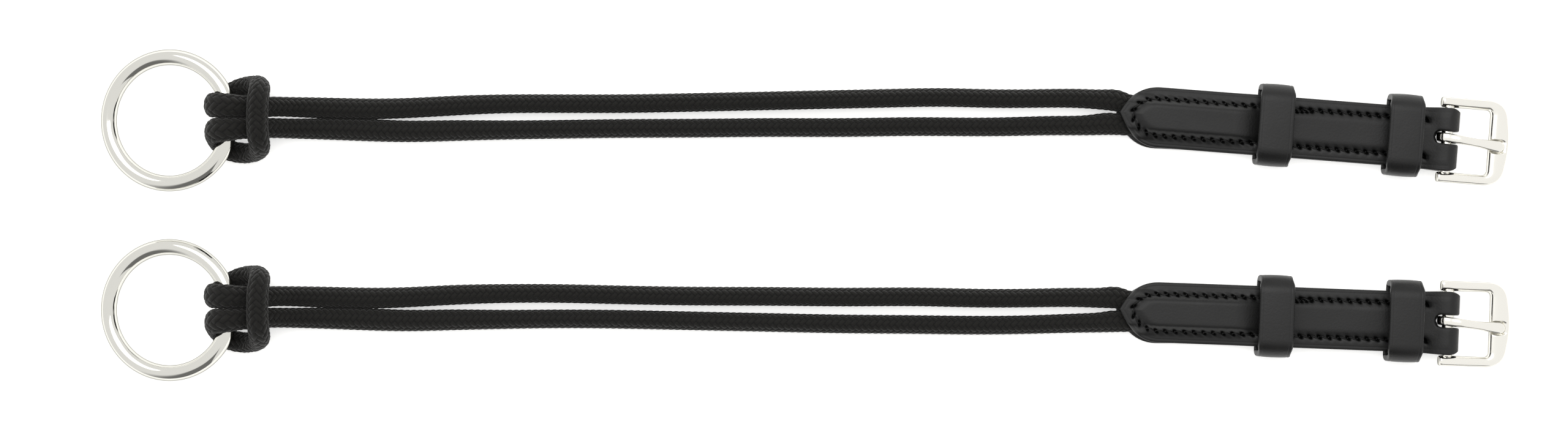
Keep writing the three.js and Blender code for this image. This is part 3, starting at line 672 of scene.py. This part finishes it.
def tooled(u, v):
    """What tooling adds to the front leather's height: a crease along the edge, the sunk stitch line with its
    awl holes, and the middle standing up between the rows."""
    inward = inward_from_edge(u, v)
    crease = -0.05 * np.exp(-(((inward - CREASE) / 0.2) ** 2))
    valley = -0.24 * np.exp(-(((inward - STITCH_MARGIN) / 0.6) ** 2))
    valley *= 1 - smooth(u, STITCH_END, STITCH_END + 2)
    raised = 0.6 * smooth(inward, STITCH_MARGIN, STITCH_MARGIN + 2.6) * (1 - smooth(u, 96.0, 101.0))
    droop = -0.22 * (1 - smooth(inward, 0.0, 3.0))
    pricked = -AWL_HOLE[2] * awl_holes(u, v)
    return crease + valley + raised + droop + pricked


def strap_top(u, v):
    """The height of the front leather's face."""
    u, v = np.broadcast_arrays(np.asarray(u, float), np.asarray(v, float))
    flat_u, flat_v = u.ravel(), v.ravel()
    height = 2 * LEATHER + layer_gap(flat_u, flat_v) + tooled(flat_u, flat_v)
    return height.reshape(u.shape)


def slot_half(u, start):
    """Half the width of the tongue's slot: round-ended, and open all through the fold."""
    past = np.clip((u - start) / SLOT_HALF, 0, 1)
    return SLOT_HALF * np.sqrt(1 - (1 - past) ** 2)


def strap_skin(side):
    """The folded strip. Rows follow the strip's whole edge: down one side of the front leather, round its
    point and back to the fold, over the fold, and the same round the back leather. Columns go from the
    strip's middle out over the face, round the edge and back underneath. The two halves meet in the middle,
    but for the slot."""
    tip = point_edge(1)
    front_u = np.concatenate([np.arange(BAR_FROM_TIP, TIP_LENGTH, -0.34), tip[::-1, 0]])
    back_u = np.concatenate([np.linspace(BAR_FROM_TIP, TIP_LENGTH, 110)[:-1], tip[::-4, 0]])
    turns = np.radians(np.arange(81, -82, -9.0))

    def rim(us, hand):
        """How far across the strap's side is at each u: the point's curve, then straight, then flared."""
        curve = point_edge(hand)
        v = np.where(us < TIP_LENGTH, np.interp(us, curve[:, 0], curve[:, 1]), hand * STRAP_HALF)
        return v + hand * FLARE * smooth(us, 92.0, BAR_FROM_TIP)

    # each row: its u, its turn round the bar (pi / 2 in front, -pi / 2 behind) and its side
    rows = []
    for us, turn, hand, order in (
        (front_u, math.pi / 2, 1, 1), (front_u, math.pi / 2, -1, -1),
        (turns, None, -1, 1), (back_u, -math.pi / 2, -1, 1), (back_u, -math.pi / 2, 1, -1),
        (turns, None, 1, -1),
    ):
        for value in us[::order]:
            rows.append((BAR_FROM_TIP if turn is None else value, value if turn is None else turn, hand))
    table = np.array(rows)
    u, turn, hand = table.T
    keep = np.ones(len(u), bool)
    keep[1:] = (np.abs(np.diff(u)) + np.abs(np.diff(turn)) + np.abs(np.diff(hand)) * (u[1:] > 1e-6)) > 1e-9
    u, turn, hand = u[keep], turn[keep], hand[keep]
    edge_v = np.where(hand > 0, rim(u, 1), rim(u, -1))
    edge_v -= hand * FOLD_PINCH * np.where(u >= BAR_FROM_TIP, np.cos(turn), 0) ** 2
    middle_u = u + 7.5 * np.clip(1 - u / 18.0, 0, 1) ** 1.6
    opening = slot_half(u, SLOT_START + np.where(turn < 0, SLOT_SHORTER, 0.0))
    opening = np.where(np.abs(turn) < math.pi / 2 - 1e-6, SLOT_HALF, opening)
    middle_v = np.interp(smooth(u, SLOT_START, BAR_FROM_TIP), (0, 1), SLOT_MIDDLE) + hand * opening

    dense = np.concatenate([
        [0.0], EDGE_ROUND * (1 - np.cos(np.radians([20, 40, 60, 78]))),
        [0.6, 0.75, 0.88, 0.98, 1.06, 1.15, 1.24, 1.32, 1.42, 1.6, 1.9, 2.3, 2.7], np.arange(2.95, 4.6, 0.15),
        [4.8, 5.1, 5.5, 6.0, 6.6, 7.3, 8.0, 8.7, 9.3, 9.6],
    ])
    coarse = np.concatenate([
        [0.0], EDGE_ROUND * (1 - np.cos(np.radians([30, 60]))), [0.6, 1.2, 2.2, 3.4, 4.8, 6.4, 8.0, 9.3, 9.6]
    ])
    share = np.concatenate([dense[::-1], coarse]) / STRAP_HALF
    on_top = np.concatenate([np.ones(len(dense), bool), np.zeros(len(coarse), bool)])
    plan_u = u[:, None] + share[None, :] * (middle_u - u)[:, None]
    plan_v = edge_v[:, None] + share[None, :] * (middle_v - edge_v)[:, None]
    inward = share[None, :] * STRAP_HALF + 0 * plan_u
    from_slot = np.where((opening > 0)[:, None], np.abs(plan_v - middle_v[:, None]), 9.0)
    inward = np.minimum(inward, from_slot)
    near_edge = EDGE_ROUND - np.minimum(inward, EDGE_ROUND)
    lip = EDGE_ROUND - np.sqrt(np.clip(EDGE_ROUND**2 - near_edge**2, 0, None))
    out = np.where(on_top[None, :], LEATHER - lip, lip)  # above the inner face of the leather

    front = (turn > math.pi / 2 - 1e-6)[:, None]
    back = (turn < -math.pi / 2 + 1e-6)[:, None]
    flat_u, flat_v = plan_u.ravel(), plan_v.ravel()
    tooling = tooled(flat_u, flat_v).reshape(plan_u.shape)
    lifted = LEATHER + layer_gap(plan_u, plan_v) + out + tooling * np.where(on_top[None, :], 1.0, 0.25)
    laid = LEATHER - out + 0.05
    around_bar = FOLD_INSIDE + out * (1 - FOLD_DRAWN * np.cos(turn))[:, None]
    folded_u = BAR_FROM_TIP + around_bar * np.cos(turn)[:, None]
    folded_z = BAR_HEIGHT + around_bar * np.sin(turn)[:, None]
    z = np.where(front, lifted, np.where(back, laid, folded_z))
    plan_u = np.where(front | back, plan_u, folded_u)
    peeping = BACK_PEEP * np.where(back, 1 - smooth(plan_u, 0.0, 22.0), 0)
    grid = strap_place(side, plan_u - peeping, plan_v - 0.8 * peeping, z)

    rows_n, columns_n = grid.shape[:2]
    number = np.arange(rows_n * columns_n).reshape(rows_n, columns_n)
    following = np.roll(number, -1, axis=0)
    quads = np.stack([number[:, :-1], following[:, :-1], following[:, 1:], number[:, 1:]], -1).reshape(-1, 4)
    opens = (opening > 1e-6) | (np.roll(opening, -1) > 1e-6)
    walls = np.stack([number[opens, 0], number[opens, -1], following[opens, -1], following[opens, 0]], -1)
    # the awl holes' mask also goes on the mesh, where the leather material uses it for painted shade in the
    # holes
    awl_hole_depth_and_shade = awl_holes(flat_u, flat_v) * (front & on_top[None, :]).ravel()
    faces = np.vstack([quads, walls])
    return fill(side + "_strap_leather", grid.reshape(-1, 3), faces, sharp=55, awl_hole_depth_and_shade=awl_hole_depth_and_shade)


def bridle_leather(name, base, roughness, grain):
    """Dyed and waxed bridle leather: near black, a soft shine broken by fine pebbled grain and a faint bloom,
    with painted shade in the awl holes, where the shine is taken out."""
    material, tree, shader = new_material(name, Specular_IOR_Level=SHINE)
    places = add(tree, "TexCoord").outputs["Object"]
    cells = add(tree, "TexVoronoi", {"Vector": places, "Scale": 1500.0}, feature="SMOOTH_F1").outputs[0]
    fibre = add(tree, "TexNoise", {"Vector": places, "Scale": 2600.0, "Detail": 3.0}).outputs[0]
    cloud = add(tree, "TexNoise", {"Vector": places, "Scale": 110.0, "Detail": 4.0}).outputs[0]
    height = add(tree, "Math", {0: fibre, 1: 0.35, 2: cells}, operation="MULTIPLY_ADD").outputs[0]
    bump = add(tree, "Bump", {"Strength": grain, "Distance": 0.08 * MM, "Height": height})
    tint = add(tree, "ValToRGB", {0: cloud})
    for stop, position, colour in zip(tint.color_ramp.elements, (0.35, 0.7), base):
        stop.position, stop.color = position, linear(colour)
    wax = {0: cloud, 1: 0.3, 2: 0.7, 3: roughness - 0.04, 4: roughness + 0.06}
    # painted shade: inside the awl holes the leather's shine is turned down to nothing so that the holes read
    # dark
    holes = add(tree, "Attribute", attribute_name="awl_hole_depth_and_shade").outputs["Fac"]
    painted_hole_shade = add(tree, "MapRange", {0: holes, 1: 0.15, 2: 0.5, 3: SHINE, 4: 0.0})
    tree.links.new(tint.outputs[0], shader["Base Color"])
    tree.links.new(add(tree, "MapRange", wax).outputs[0], shader["Roughness"])
    tree.links.new(painted_hole_shade.outputs[0], shader["Specular IOR Level"])
    tree.links.new(bump.outputs[0], shader["Normal"])
    return material


strap_hide = bridle_leather("black_bridle_leather", ("060606", "0b0b0b"), 0.46, 0.35)
for side in SIDES:
    fit(strap_skin(side), strap_hide, side + "_cheekpiece", "leather", side + "_strap")

# ---- The stitching -----------------------------------------------------------------------------------------
# Waxed black thread, hand sewn with an awl: short slanting stitches, each dipping into the next hole. The
# front row runs from the buckle round the strap's point and back, with a few stitches sewn twice at its
# ends.

THREAD = 0.62
STITCH_SLANT = 0.3
STITCH_SHOWS = 0.72  # the share of a stitch that is out of its holes
STITCH_ARCH = 0.72  # how high it rises and
STITCH_SINK = 0.62  # from how deep, in thicknesses of the thread
BACK_GROOVE = 0.25  # the depth of the groove that the back row lies in


def sewn(places, heading, at, height):
    """A thread along a path on the plan. Over each stitch it rises and falls as a power of a half sine
    wave, and crosses the path as a half cosine wave."""
    inside = 11
    holes = len(at)
    t = np.linspace(0, holes - 1, (holes - 1) * inside + 1)
    u, v = (np.interp(t, np.arange(holes), places[:, k]) for k in range(2))
    du, dv = (np.interp(t, np.arange(holes), heading[:, k]) for k in range(2))
    phase = np.mod(t, 1.0)
    seen = np.clip((phase - (1 - STITCH_SHOWS) / 2) / STITCH_SHOWS, 0, 1)
    aside = STITCH_SLANT * np.cos(math.pi * seen)
    u, v = u - dv * aside, v + du * aside
    arch = np.sin(math.pi * seen) ** 0.6
    return np.stack([u, v, height(u, v) + THREAD * (STITCH_ARCH * arch - STITCH_SINK)], -1)


def thread_tube(path, side):
    """A circle of the thread's radius carried along a path given along, across and above the strap."""
    centre = strap_place(side, path[:, 0], path[:, 1], path[:, 2])
    tangent = unit(np.gradient(centre, axis=0))
    sideways = unit(np.cross(tangent, [0.0, 0.0, 1.0]))
    upward = np.cross(sideways, tangent)
    angle = np.linspace(0, 2 * math.pi, 9)[:-1]
    offset = np.cos(angle)[None, :, None] * sideways[:, None] + np.sin(angle)[None, :, None] * upward[:, None]
    return centre[:, None] + THREAD / 2 * offset


def joined(name, grids):
    """One object from several closed tubes, each a grid of rows of points round it."""
    whole, *others = (surface(name, grid) for grid in grids)
    shell = bmesh.new()
    for part in (whole, *others):
        shell.from_mesh(part.data)
    shell.to_mesh(whole.data)
    shell.free()
    for part in others:
        bpy.data.objects.remove(part)
    return whole


def waxed_thread():
    """Waxed polyester thread: black, twisted, with a dull waxy shine."""
    material, tree, shader = new_material(
        "waxed_thread", Base_Color="0c0c0c", Roughness=0.55, Specular_IOR_Level=0.28
    )
    wave = {"Vector": add(tree, "TexCoord").outputs["Object"], "Scale": 500.0, "Distortion": 1.0}
    twist = add(tree, "TexWave", wave, bands_direction="DIAGONAL").outputs[1]
    bump = add(tree, "Bump", {"Strength": 0.4, "Distance": 0.1 * MM, "Height": twist})
    tree.links.new(bump.outputs[0], shader["Normal"])
    return material


thread_finish = waxed_thread()
for side in SIDES:
    places, heading, at = even_points(stitch_path(), STITCH_PITCH)
    rows = [(places, heading, at), *(tack_line(*tack) for tack in BACK_TACKS)]
    front_row = joined(side + "_stitches_front", [thread_tube(sewn(*row, strap_top), side) for row in rows])
    underside = thread_tube(sewn(places, heading, at, lambda u, v: BACK_GROOVE + 0 * u), side)
    underside[..., 2] = 0.62 - underside[..., 2]
    back_row = joined(side + "_stitches_back", [underside])
    for row, node in ((front_row, "_stitching_front"), (back_row, "_stitching_back")):
        fit(row, thread_finish, side + "_cheekpiece", "thread", side + node)

# ---- The keepers -------------------------------------------------------------------------------------------
# Two bands of the same leather on each strap, wetted and bent over a wooden block to a box shape. Their
# pared feet are sewn in between the leathers, and their edges are creased like the strap's.

KEEPER_FROM_TIP = (49.2, 90.2)
KEEPER_WIDTH = 11.0
KEEPER_LEATHER = 2.1
KEEPER_OUTSIDE = 12.85
KEEPER_ASIDE = 0.25  # they sit a little to one side
KEEPER_TOP = 12.2
KEEPER_FOOT = (6.3, 2.2, 3.4)  # how near the middle it comes, and its faces
KEEPER_BEND = 5.4
KEEPER_HEEL = 1.8
KEEPER_CREASE = (1.2, 0.17, 0.045)  # from the edge, half its width and its depth
KEEPER_SWELL = 0.22  # the band is thicker in its middle
KEEPER_BULGE = 0.35  # and its top bows up


def keeper_middle():
    """The band's middle line in the plane across the strap, from one foot over the top to the other:
    straight runs and quarter circles."""
    half = KEEPER_LEATHER / 2
    bend, heel = KEEPER_BEND - half, KEEPER_HEEL - 0.6
    wide, top, low = KEEPER_OUTSIDE - half, KEEPER_TOP - half, (KEEPER_FOOT[1] + KEEPER_FOOT[2]) / 2
    quarter = np.radians(np.linspace(0, 90, 13))
    runs = [
        np.stack([np.linspace(KEEPER_FOOT[0], wide - heel, 8)[:-1], np.full(7, low)], -1),
        np.stack([wide - heel + heel * np.sin(quarter), low + heel - heel * np.cos(quarter)], -1),
        np.stack([np.full(8, wide), np.linspace(low + heel, top - bend, 10)[1:-1]], -1),
        np.stack([wide - bend + bend * np.cos(quarter), top - bend + bend * np.sin(quarter)], -1),
        np.stack([np.linspace(wide - bend, 0, 24)[1:], np.full(23, top)], -1),
    ]
    one = np.vstack(runs)
    return np.vstack([one, one[-2::-1] * (-1, 1)])


def keeper_skin(side, which):
    """A flat band, rounded at its edges and creased near them, carried along the box-shaped middle line."""
    line = keeper_middle()
    tangent = unit(np.gradient(line, axis=0))
    outward = np.stack([tangent[:, 1], -tangent[:, 0]], -1)
    height = line[:, 1]
    pared = smooth(height, 2.9, 4.6)
    half_thick = 0.6 + (KEEPER_LEATHER / 2 - 0.6) * pared
    round_edge = np.radians(np.linspace(90, 0, 7))
    radius = 0.6
    face_w = np.concatenate([[0.0, 1.5, 3.0, 3.7], np.arange(3.95, 4.66, 0.1), [4.8]])
    arc_w = KEEPER_WIDTH / 2 - radius + radius * np.cos(round_edge)
    arc_h = -radius + radius * np.sin(round_edge)
    quarter_w = np.concatenate([face_w, arc_w])
    quarter_drop = np.concatenate([np.zeros(len(face_w)), arc_h])
    crease_in, crease_wide, crease_deep = KEEPER_CREASE
    groove = -crease_deep * np.exp(-(((quarter_w - (KEEPER_WIDTH / 2 - crease_in)) / crease_wide) ** 2))
    quarter_swell = KEEPER_SWELL * (1 - (quarter_w / (KEEPER_WIDTH / 2)) ** 2)
    top_w = np.concatenate([quarter_w, quarter_w[::-1], -quarter_w[1:], -quarter_w[:0:-1]])
    count = len(quarter_w)
    above = np.concatenate([np.ones(count), -np.ones(count), -np.ones(count - 1), np.ones(count - 1)])
    drop = np.concatenate([quarter_drop, quarter_drop[::-1], quarter_drop[1:], quarter_drop[:0:-1]])
    dents = np.concatenate([groove + quarter_swell, np.zeros(2 * count - 1), (groove + quarter_swell)[:0:-1]])
    on_top = smooth(height, KEEPER_TOP - 2.5, KEEPER_TOP - 1.2)
    bulge = KEEPER_BULGE * (1 - (line[:, 0] / KEEPER_OUTSIDE) ** 2) * on_top
    lift = above * (half_thick[:, None] + drop) + dents * pared[:, None] + bulge[:, None]
    flare = 1 + 0.05 * (1 - smooth(height, 3.0, 9.0))[:, None] * (line[:, :1] < 0)
    to_side = smooth(np.abs(line[:, 0]), KEEPER_OUTSIDE - 3.6, KEEPER_OUTSIDE - 1.0)
    narrowed = 1 - 0.1 * (to_side * smooth(height, 2.0, 11.0))[:, None]
    u = KEEPER_FROM_TIP[which] + top_w[None, :] * flare * narrowed
    v = KEEPER_ASIDE + line[:, :1] + outward[:, :1] * lift
    z = line[:, 1:] + outward[:, 1:] * lift
    name = side + ("_keeper_far_band", "_keeper_near_band")[which]
    return surface(name, strap_place(side, u, v, z))


keeper_hide = bridle_leather("black_keeper_leather", ("060606", "0b0b0b"), 0.42, 0.35)
for side in SIDES:
    for which, node in enumerate(("_keeper_far", "_keeper_near")):
        fit(keeper_skin(side, which), keeper_hide, side + "_cheekpiece", "leather", side + node)

# ---- The buckles -------------------------------------------------------------------------------------------
# A cast stainless frame, flat faced and bevelled inside, with a round bar across its open end. The tongue
# is a flattened rod curled round the bar, and its tip lies in a dip in the frame's outer rail.

BAR_RADIUS = 1.75
FRAME_THICKNESS = 3.2
FRAME_INSIDE = 20.6
FRAME_HALF = 13.5
FRAME_REACH = 20.3
FRAME_RAIL = 6.5
FRAME_LEAN = math.asin(2.25 / 18.0)
TONGUE_REACH = 18.2
TONGUE_TIP = 1.7  # the length that is rounded
TONGUE_LIE = (0.9, 0.3, -1.0)  # how far off the middle: at its curl, past the bar and at its tip
REST_DEPTH = 0.9


def frame_place(side, x, y, z):
    """Points given from the bar's middle: x towards the outer rail, y along the bar and z out of the
    frame's face."""
    u = BAR_FROM_TIP + x * math.cos(FRAME_LEAN) + z * math.sin(FRAME_LEAN)
    return strap_place(side, u, y, BAR_HEIGHT - x * math.sin(FRAME_LEAN) + z * math.cos(FRAME_LEAN))


def quadratic(a, b, c, count):
    """Points on the curve (1 - t)^2 a + 2t(1 - t) b + t^2 c."""
    t = np.linspace(0, 1, count)[:, None]
    return (1 - t) ** 2 * np.array(a) + 2 * t * (1 - t) * np.array(b) + t**2 * np.array(c)


def frame_skin(side):
    """A bevelled section carried from one arm's end round the rail to the other's, between an inner outline
    with small corners and an outer one with large corners and a bowed rail, with a dip pressed in the
    rail."""
    inside, rail = FRAME_INSIDE / 2, FRAME_REACH - FRAME_RAIL
    end, corner, bow, small = -2.5, 6.5, 1.5, 1.6
    turn = FRAME_REACH - bow
    straight = np.linspace(0, 1, 24)[:, None]
    bowed = quadratic(
        (turn + 0.5, FRAME_HALF - corner), (FRAME_REACH + bow / 3, 0), (turn + 0.5, corner - FRAME_HALF), 91
    )
    outer = np.vstack([
        (1 - straight) * (end, FRAME_HALF) + straight * (turn - corner, FRAME_HALF),
        quadratic((turn - corner, FRAME_HALF), (turn, FRAME_HALF), bowed[0], 24)[1:],
        bowed[1:46],
    ])
    inner = np.vstack([
        (1 - straight) * (end, inside) + straight * (rail - small, inside),
        quadratic((rail - small, inside), (rail, inside), (rail, inside - small), 24)[1:],
        np.stack([np.full(45, rail), np.linspace(inside - small, 0, 46)[1:]], -1),
    ])
    outer = np.vstack([outer, outer[-2::-1] * (1, -1)])
    inner = np.vstack([inner, inner[-2::-1] * (1, -1)])
    half = FRAME_THICKNESS / 2
    # the section: distances in from the inner edge (a) or from the outer edge (b), and heights
    profile = [
        ("a", 0.95, half), ("b", 0.75, half), ("b", 0.2, half - 0.28), ("b", 0.0, half - 0.9),
        ("b", 0.0, -half + 0.9), ("b", 0.2, -half + 0.28), ("b", 0.75, -half), ("a", 0.75, -half),
        ("a", 0.2, -half + 0.28), ("a", 0.0, -half + 0.9), ("a", 0.0, half - 1.25), ("a", 0.3, half - 0.55),
    ]
    across = outer - inner
    width = np.linalg.norm(across, axis=1, keepdims=True)
    across = across / width
    corners = [inner + across * d if edge == "a" else outer - across * d for edge, d, _ in profile]
    heights = [np.full((len(outer), 1), z) for _, _, z in profile]
    section = np.stack([np.hstack(pair) for pair in zip(corners, heights)], 1)
    for _ in range(2):
        following = np.roll(section, -1, axis=1)
        section = np.stack([0.75 * section + 0.25 * following, 0.25 * section + 0.75 * following], 2)
        section = section.reshape(len(outer), -1, 3)
    middle = section.mean(1, keepdims=True)
    rounding = np.ones(len(outer))
    rounding[:5] = rounding[-5:][::-1] = np.sqrt(1 - (1 - np.array([0.36, 0.58, 0.8, 0.93, 1.0])) ** 2)
    section = middle + (section - middle) * rounding[:, None, None]
    section[:5, :, 0] = section[-5:, :, 0][::-1] = end + np.array([0.0, 0.12, 0.35, 0.7, 1.1])[:, None]
    x, y, z = section[..., 0], section[..., 1], section[..., 2]
    beside = np.abs(y - TONGUE_LIE[2])
    past_tip = smooth(x, TONGUE_REACH - 0.4, TONGUE_REACH + 0.7)
    floor = half - REST_DEPTH + 0.9 * smooth(beside, 1.5, 2.5) + 0.9 * past_tip
    z = np.where(x > rail - 0.5, np.minimum(z, floor), z)
    bar_angle = np.linspace(0, 2 * math.pi, 49)[:-1]
    bar_y = np.concatenate([[-12.8, -12.0], np.linspace(-11.2, -10.2, 6), np.linspace(-10, 10, 21),
                            np.linspace(10.2, 11.2, 6), [12.0, 12.8]])
    bar_r = BAR_RADIUS - 0.45 * smooth(np.abs(bar_y), inside + 0.1, inside + 0.7)  # let in to the arms
    bar_x, bar_z = bar_r[:, None] * np.cos(bar_angle), bar_r[:, None] * np.sin(bar_angle)
    bar = frame_place(side, bar_x, bar_y[:, None] + 0 * bar_angle, bar_z)
    return joined(side + "_buckle_frame_cast", [frame_place(side, x, y, z), bar])


def tongue_skin(side):
    """A flattened rod carried round the bar, from under the blade's root to the top, and on along the
    blade, which widens to a rounded tip."""
    curl = np.radians(np.linspace(38, -270, 64))
    eye = np.stack([2.68 * np.cos(curl), 2.68 * np.sin(curl)], -1)
    route = np.array([
        [0.0, 2.68], [1.6, 2.78], [3.6, 2.85], [6.5, 2.72], [10.0, 2.35], [13.5, 2.0], [16.2, 1.88],
        [18.15, 1.82],
    ])
    knots = np.concatenate([[0.0], np.cumsum(np.hypot(*np.diff(route, axis=0).T))])
    tip_from, round_tip = knots[-1] - TONGUE_TIP, np.sin(np.radians(np.arange(6, 91, 6)))
    at = np.concatenate([np.linspace(0, tip_from, 50)[1:], tip_from + TONGUE_TIP * round_tip])
    blade = spline_at(route, knots, at)
    line = np.vstack([eye, blade])
    share = np.concatenate([np.zeros(len(eye)), at / knots[-1]])
    across = np.interp(line[:, 0], (-3.3, 2.6, TONGUE_REACH - TONGUE_TIP), TONGUE_LIE)
    to_tip = np.clip((1 - share) * knots[-1] / TONGUE_TIP, 0, 1)
    rounded = np.where(share > 0, np.sqrt(np.clip(1 - (1 - to_tip) ** 2, 0, 1)), 1.0)
    wide = (1.4 - 0.12 * smooth(share, 0.05, 0.35) + 0.48 * smooth(share, 0.45, 0.92)) * rounded
    thick = 0.65 + 0.2 * smooth(share, 0.02, 0.25) - 0.1 * smooth(share, 0.6, 0.95)
    thick *= 0.35 + 0.65 * rounded
    wide[:3] *= (0.7, 0.9, 0.98)
    thick[:3] *= (0.5, 0.8, 0.95)
    tangent = unit(np.gradient(line, axis=0))
    outward = np.stack([-tangent[:, 1], tangent[:, 0]], -1)
    angle = np.linspace(0, 2 * math.pi, 33)[:-1]
    squared = (np.abs(np.cos(angle)) ** 4 + np.abs(np.sin(angle)) ** 4) ** -0.25
    side_way, up_way = np.cos(angle) * squared, np.sin(angle) * squared
    softened = 0.5 * (squared + 1) / squared
    y = across[:, None] + wide[:, None] * side_way * softened
    up = thick[:, None] * up_way * softened
    x = line[:, :1] + outward[:, :1] * up
    z = line[:, 1:] + outward[:, 1:] * up
    return surface(side + "_buckle_tongue_forged", frame_place(side, x, y, z))


def spline_at(route, knots, at):
    """A smooth curve through a route's points, at the distances asked for, by Hermite pieces."""
    slope = np.gradient(route, knots, axis=0)
    k = np.clip(np.searchsorted(knots, at, side="right") - 1, 0, len(knots) - 2)
    span = (knots[k + 1] - knots[k])[:, None]
    t = ((at - knots[k])[:, None]) / span
    a, b = route[k], route[k + 1]
    return (
        (2 * t**3 - 3 * t**2 + 1) * a + (t**3 - 2 * t**2 + t) * span * slope[k]
        + (3 * t**2 - 2 * t**3) * b + (t**3 - t**2) * span * slope[k + 1]
    )


buckle_steel = stainless("polished_stainless_casting", "f5f3ec", 0.13, 0.2)
for side in SIDES:
    fit(frame_skin(side), buckle_steel, side + "_frame_body", "steel", side + "_buckle_frame")
    fit(tongue_skin(side), buckle_steel, side + "_tongue_body", "steel", side + "_buckle_tongue")

# ---- What is sewn in ---------------------------------------------------------------------------------------
# Between the leathers, from the cord's ends to the buckle, lies a plain undyed filler as thick as the
# keepers' feet. Only its edge shows, so it keeps the frame's own shape and is given its own finish.

filler_hide = bridle_leather("filler_leather_undressed", ("2a2320", "3a312c"), 0.8, 0.6)
for side in SIDES:
    kept = bpy.data.objects[side + "_filler"]
    kept.data.materials.clear()
    kept.data.materials.append(filler_hide)
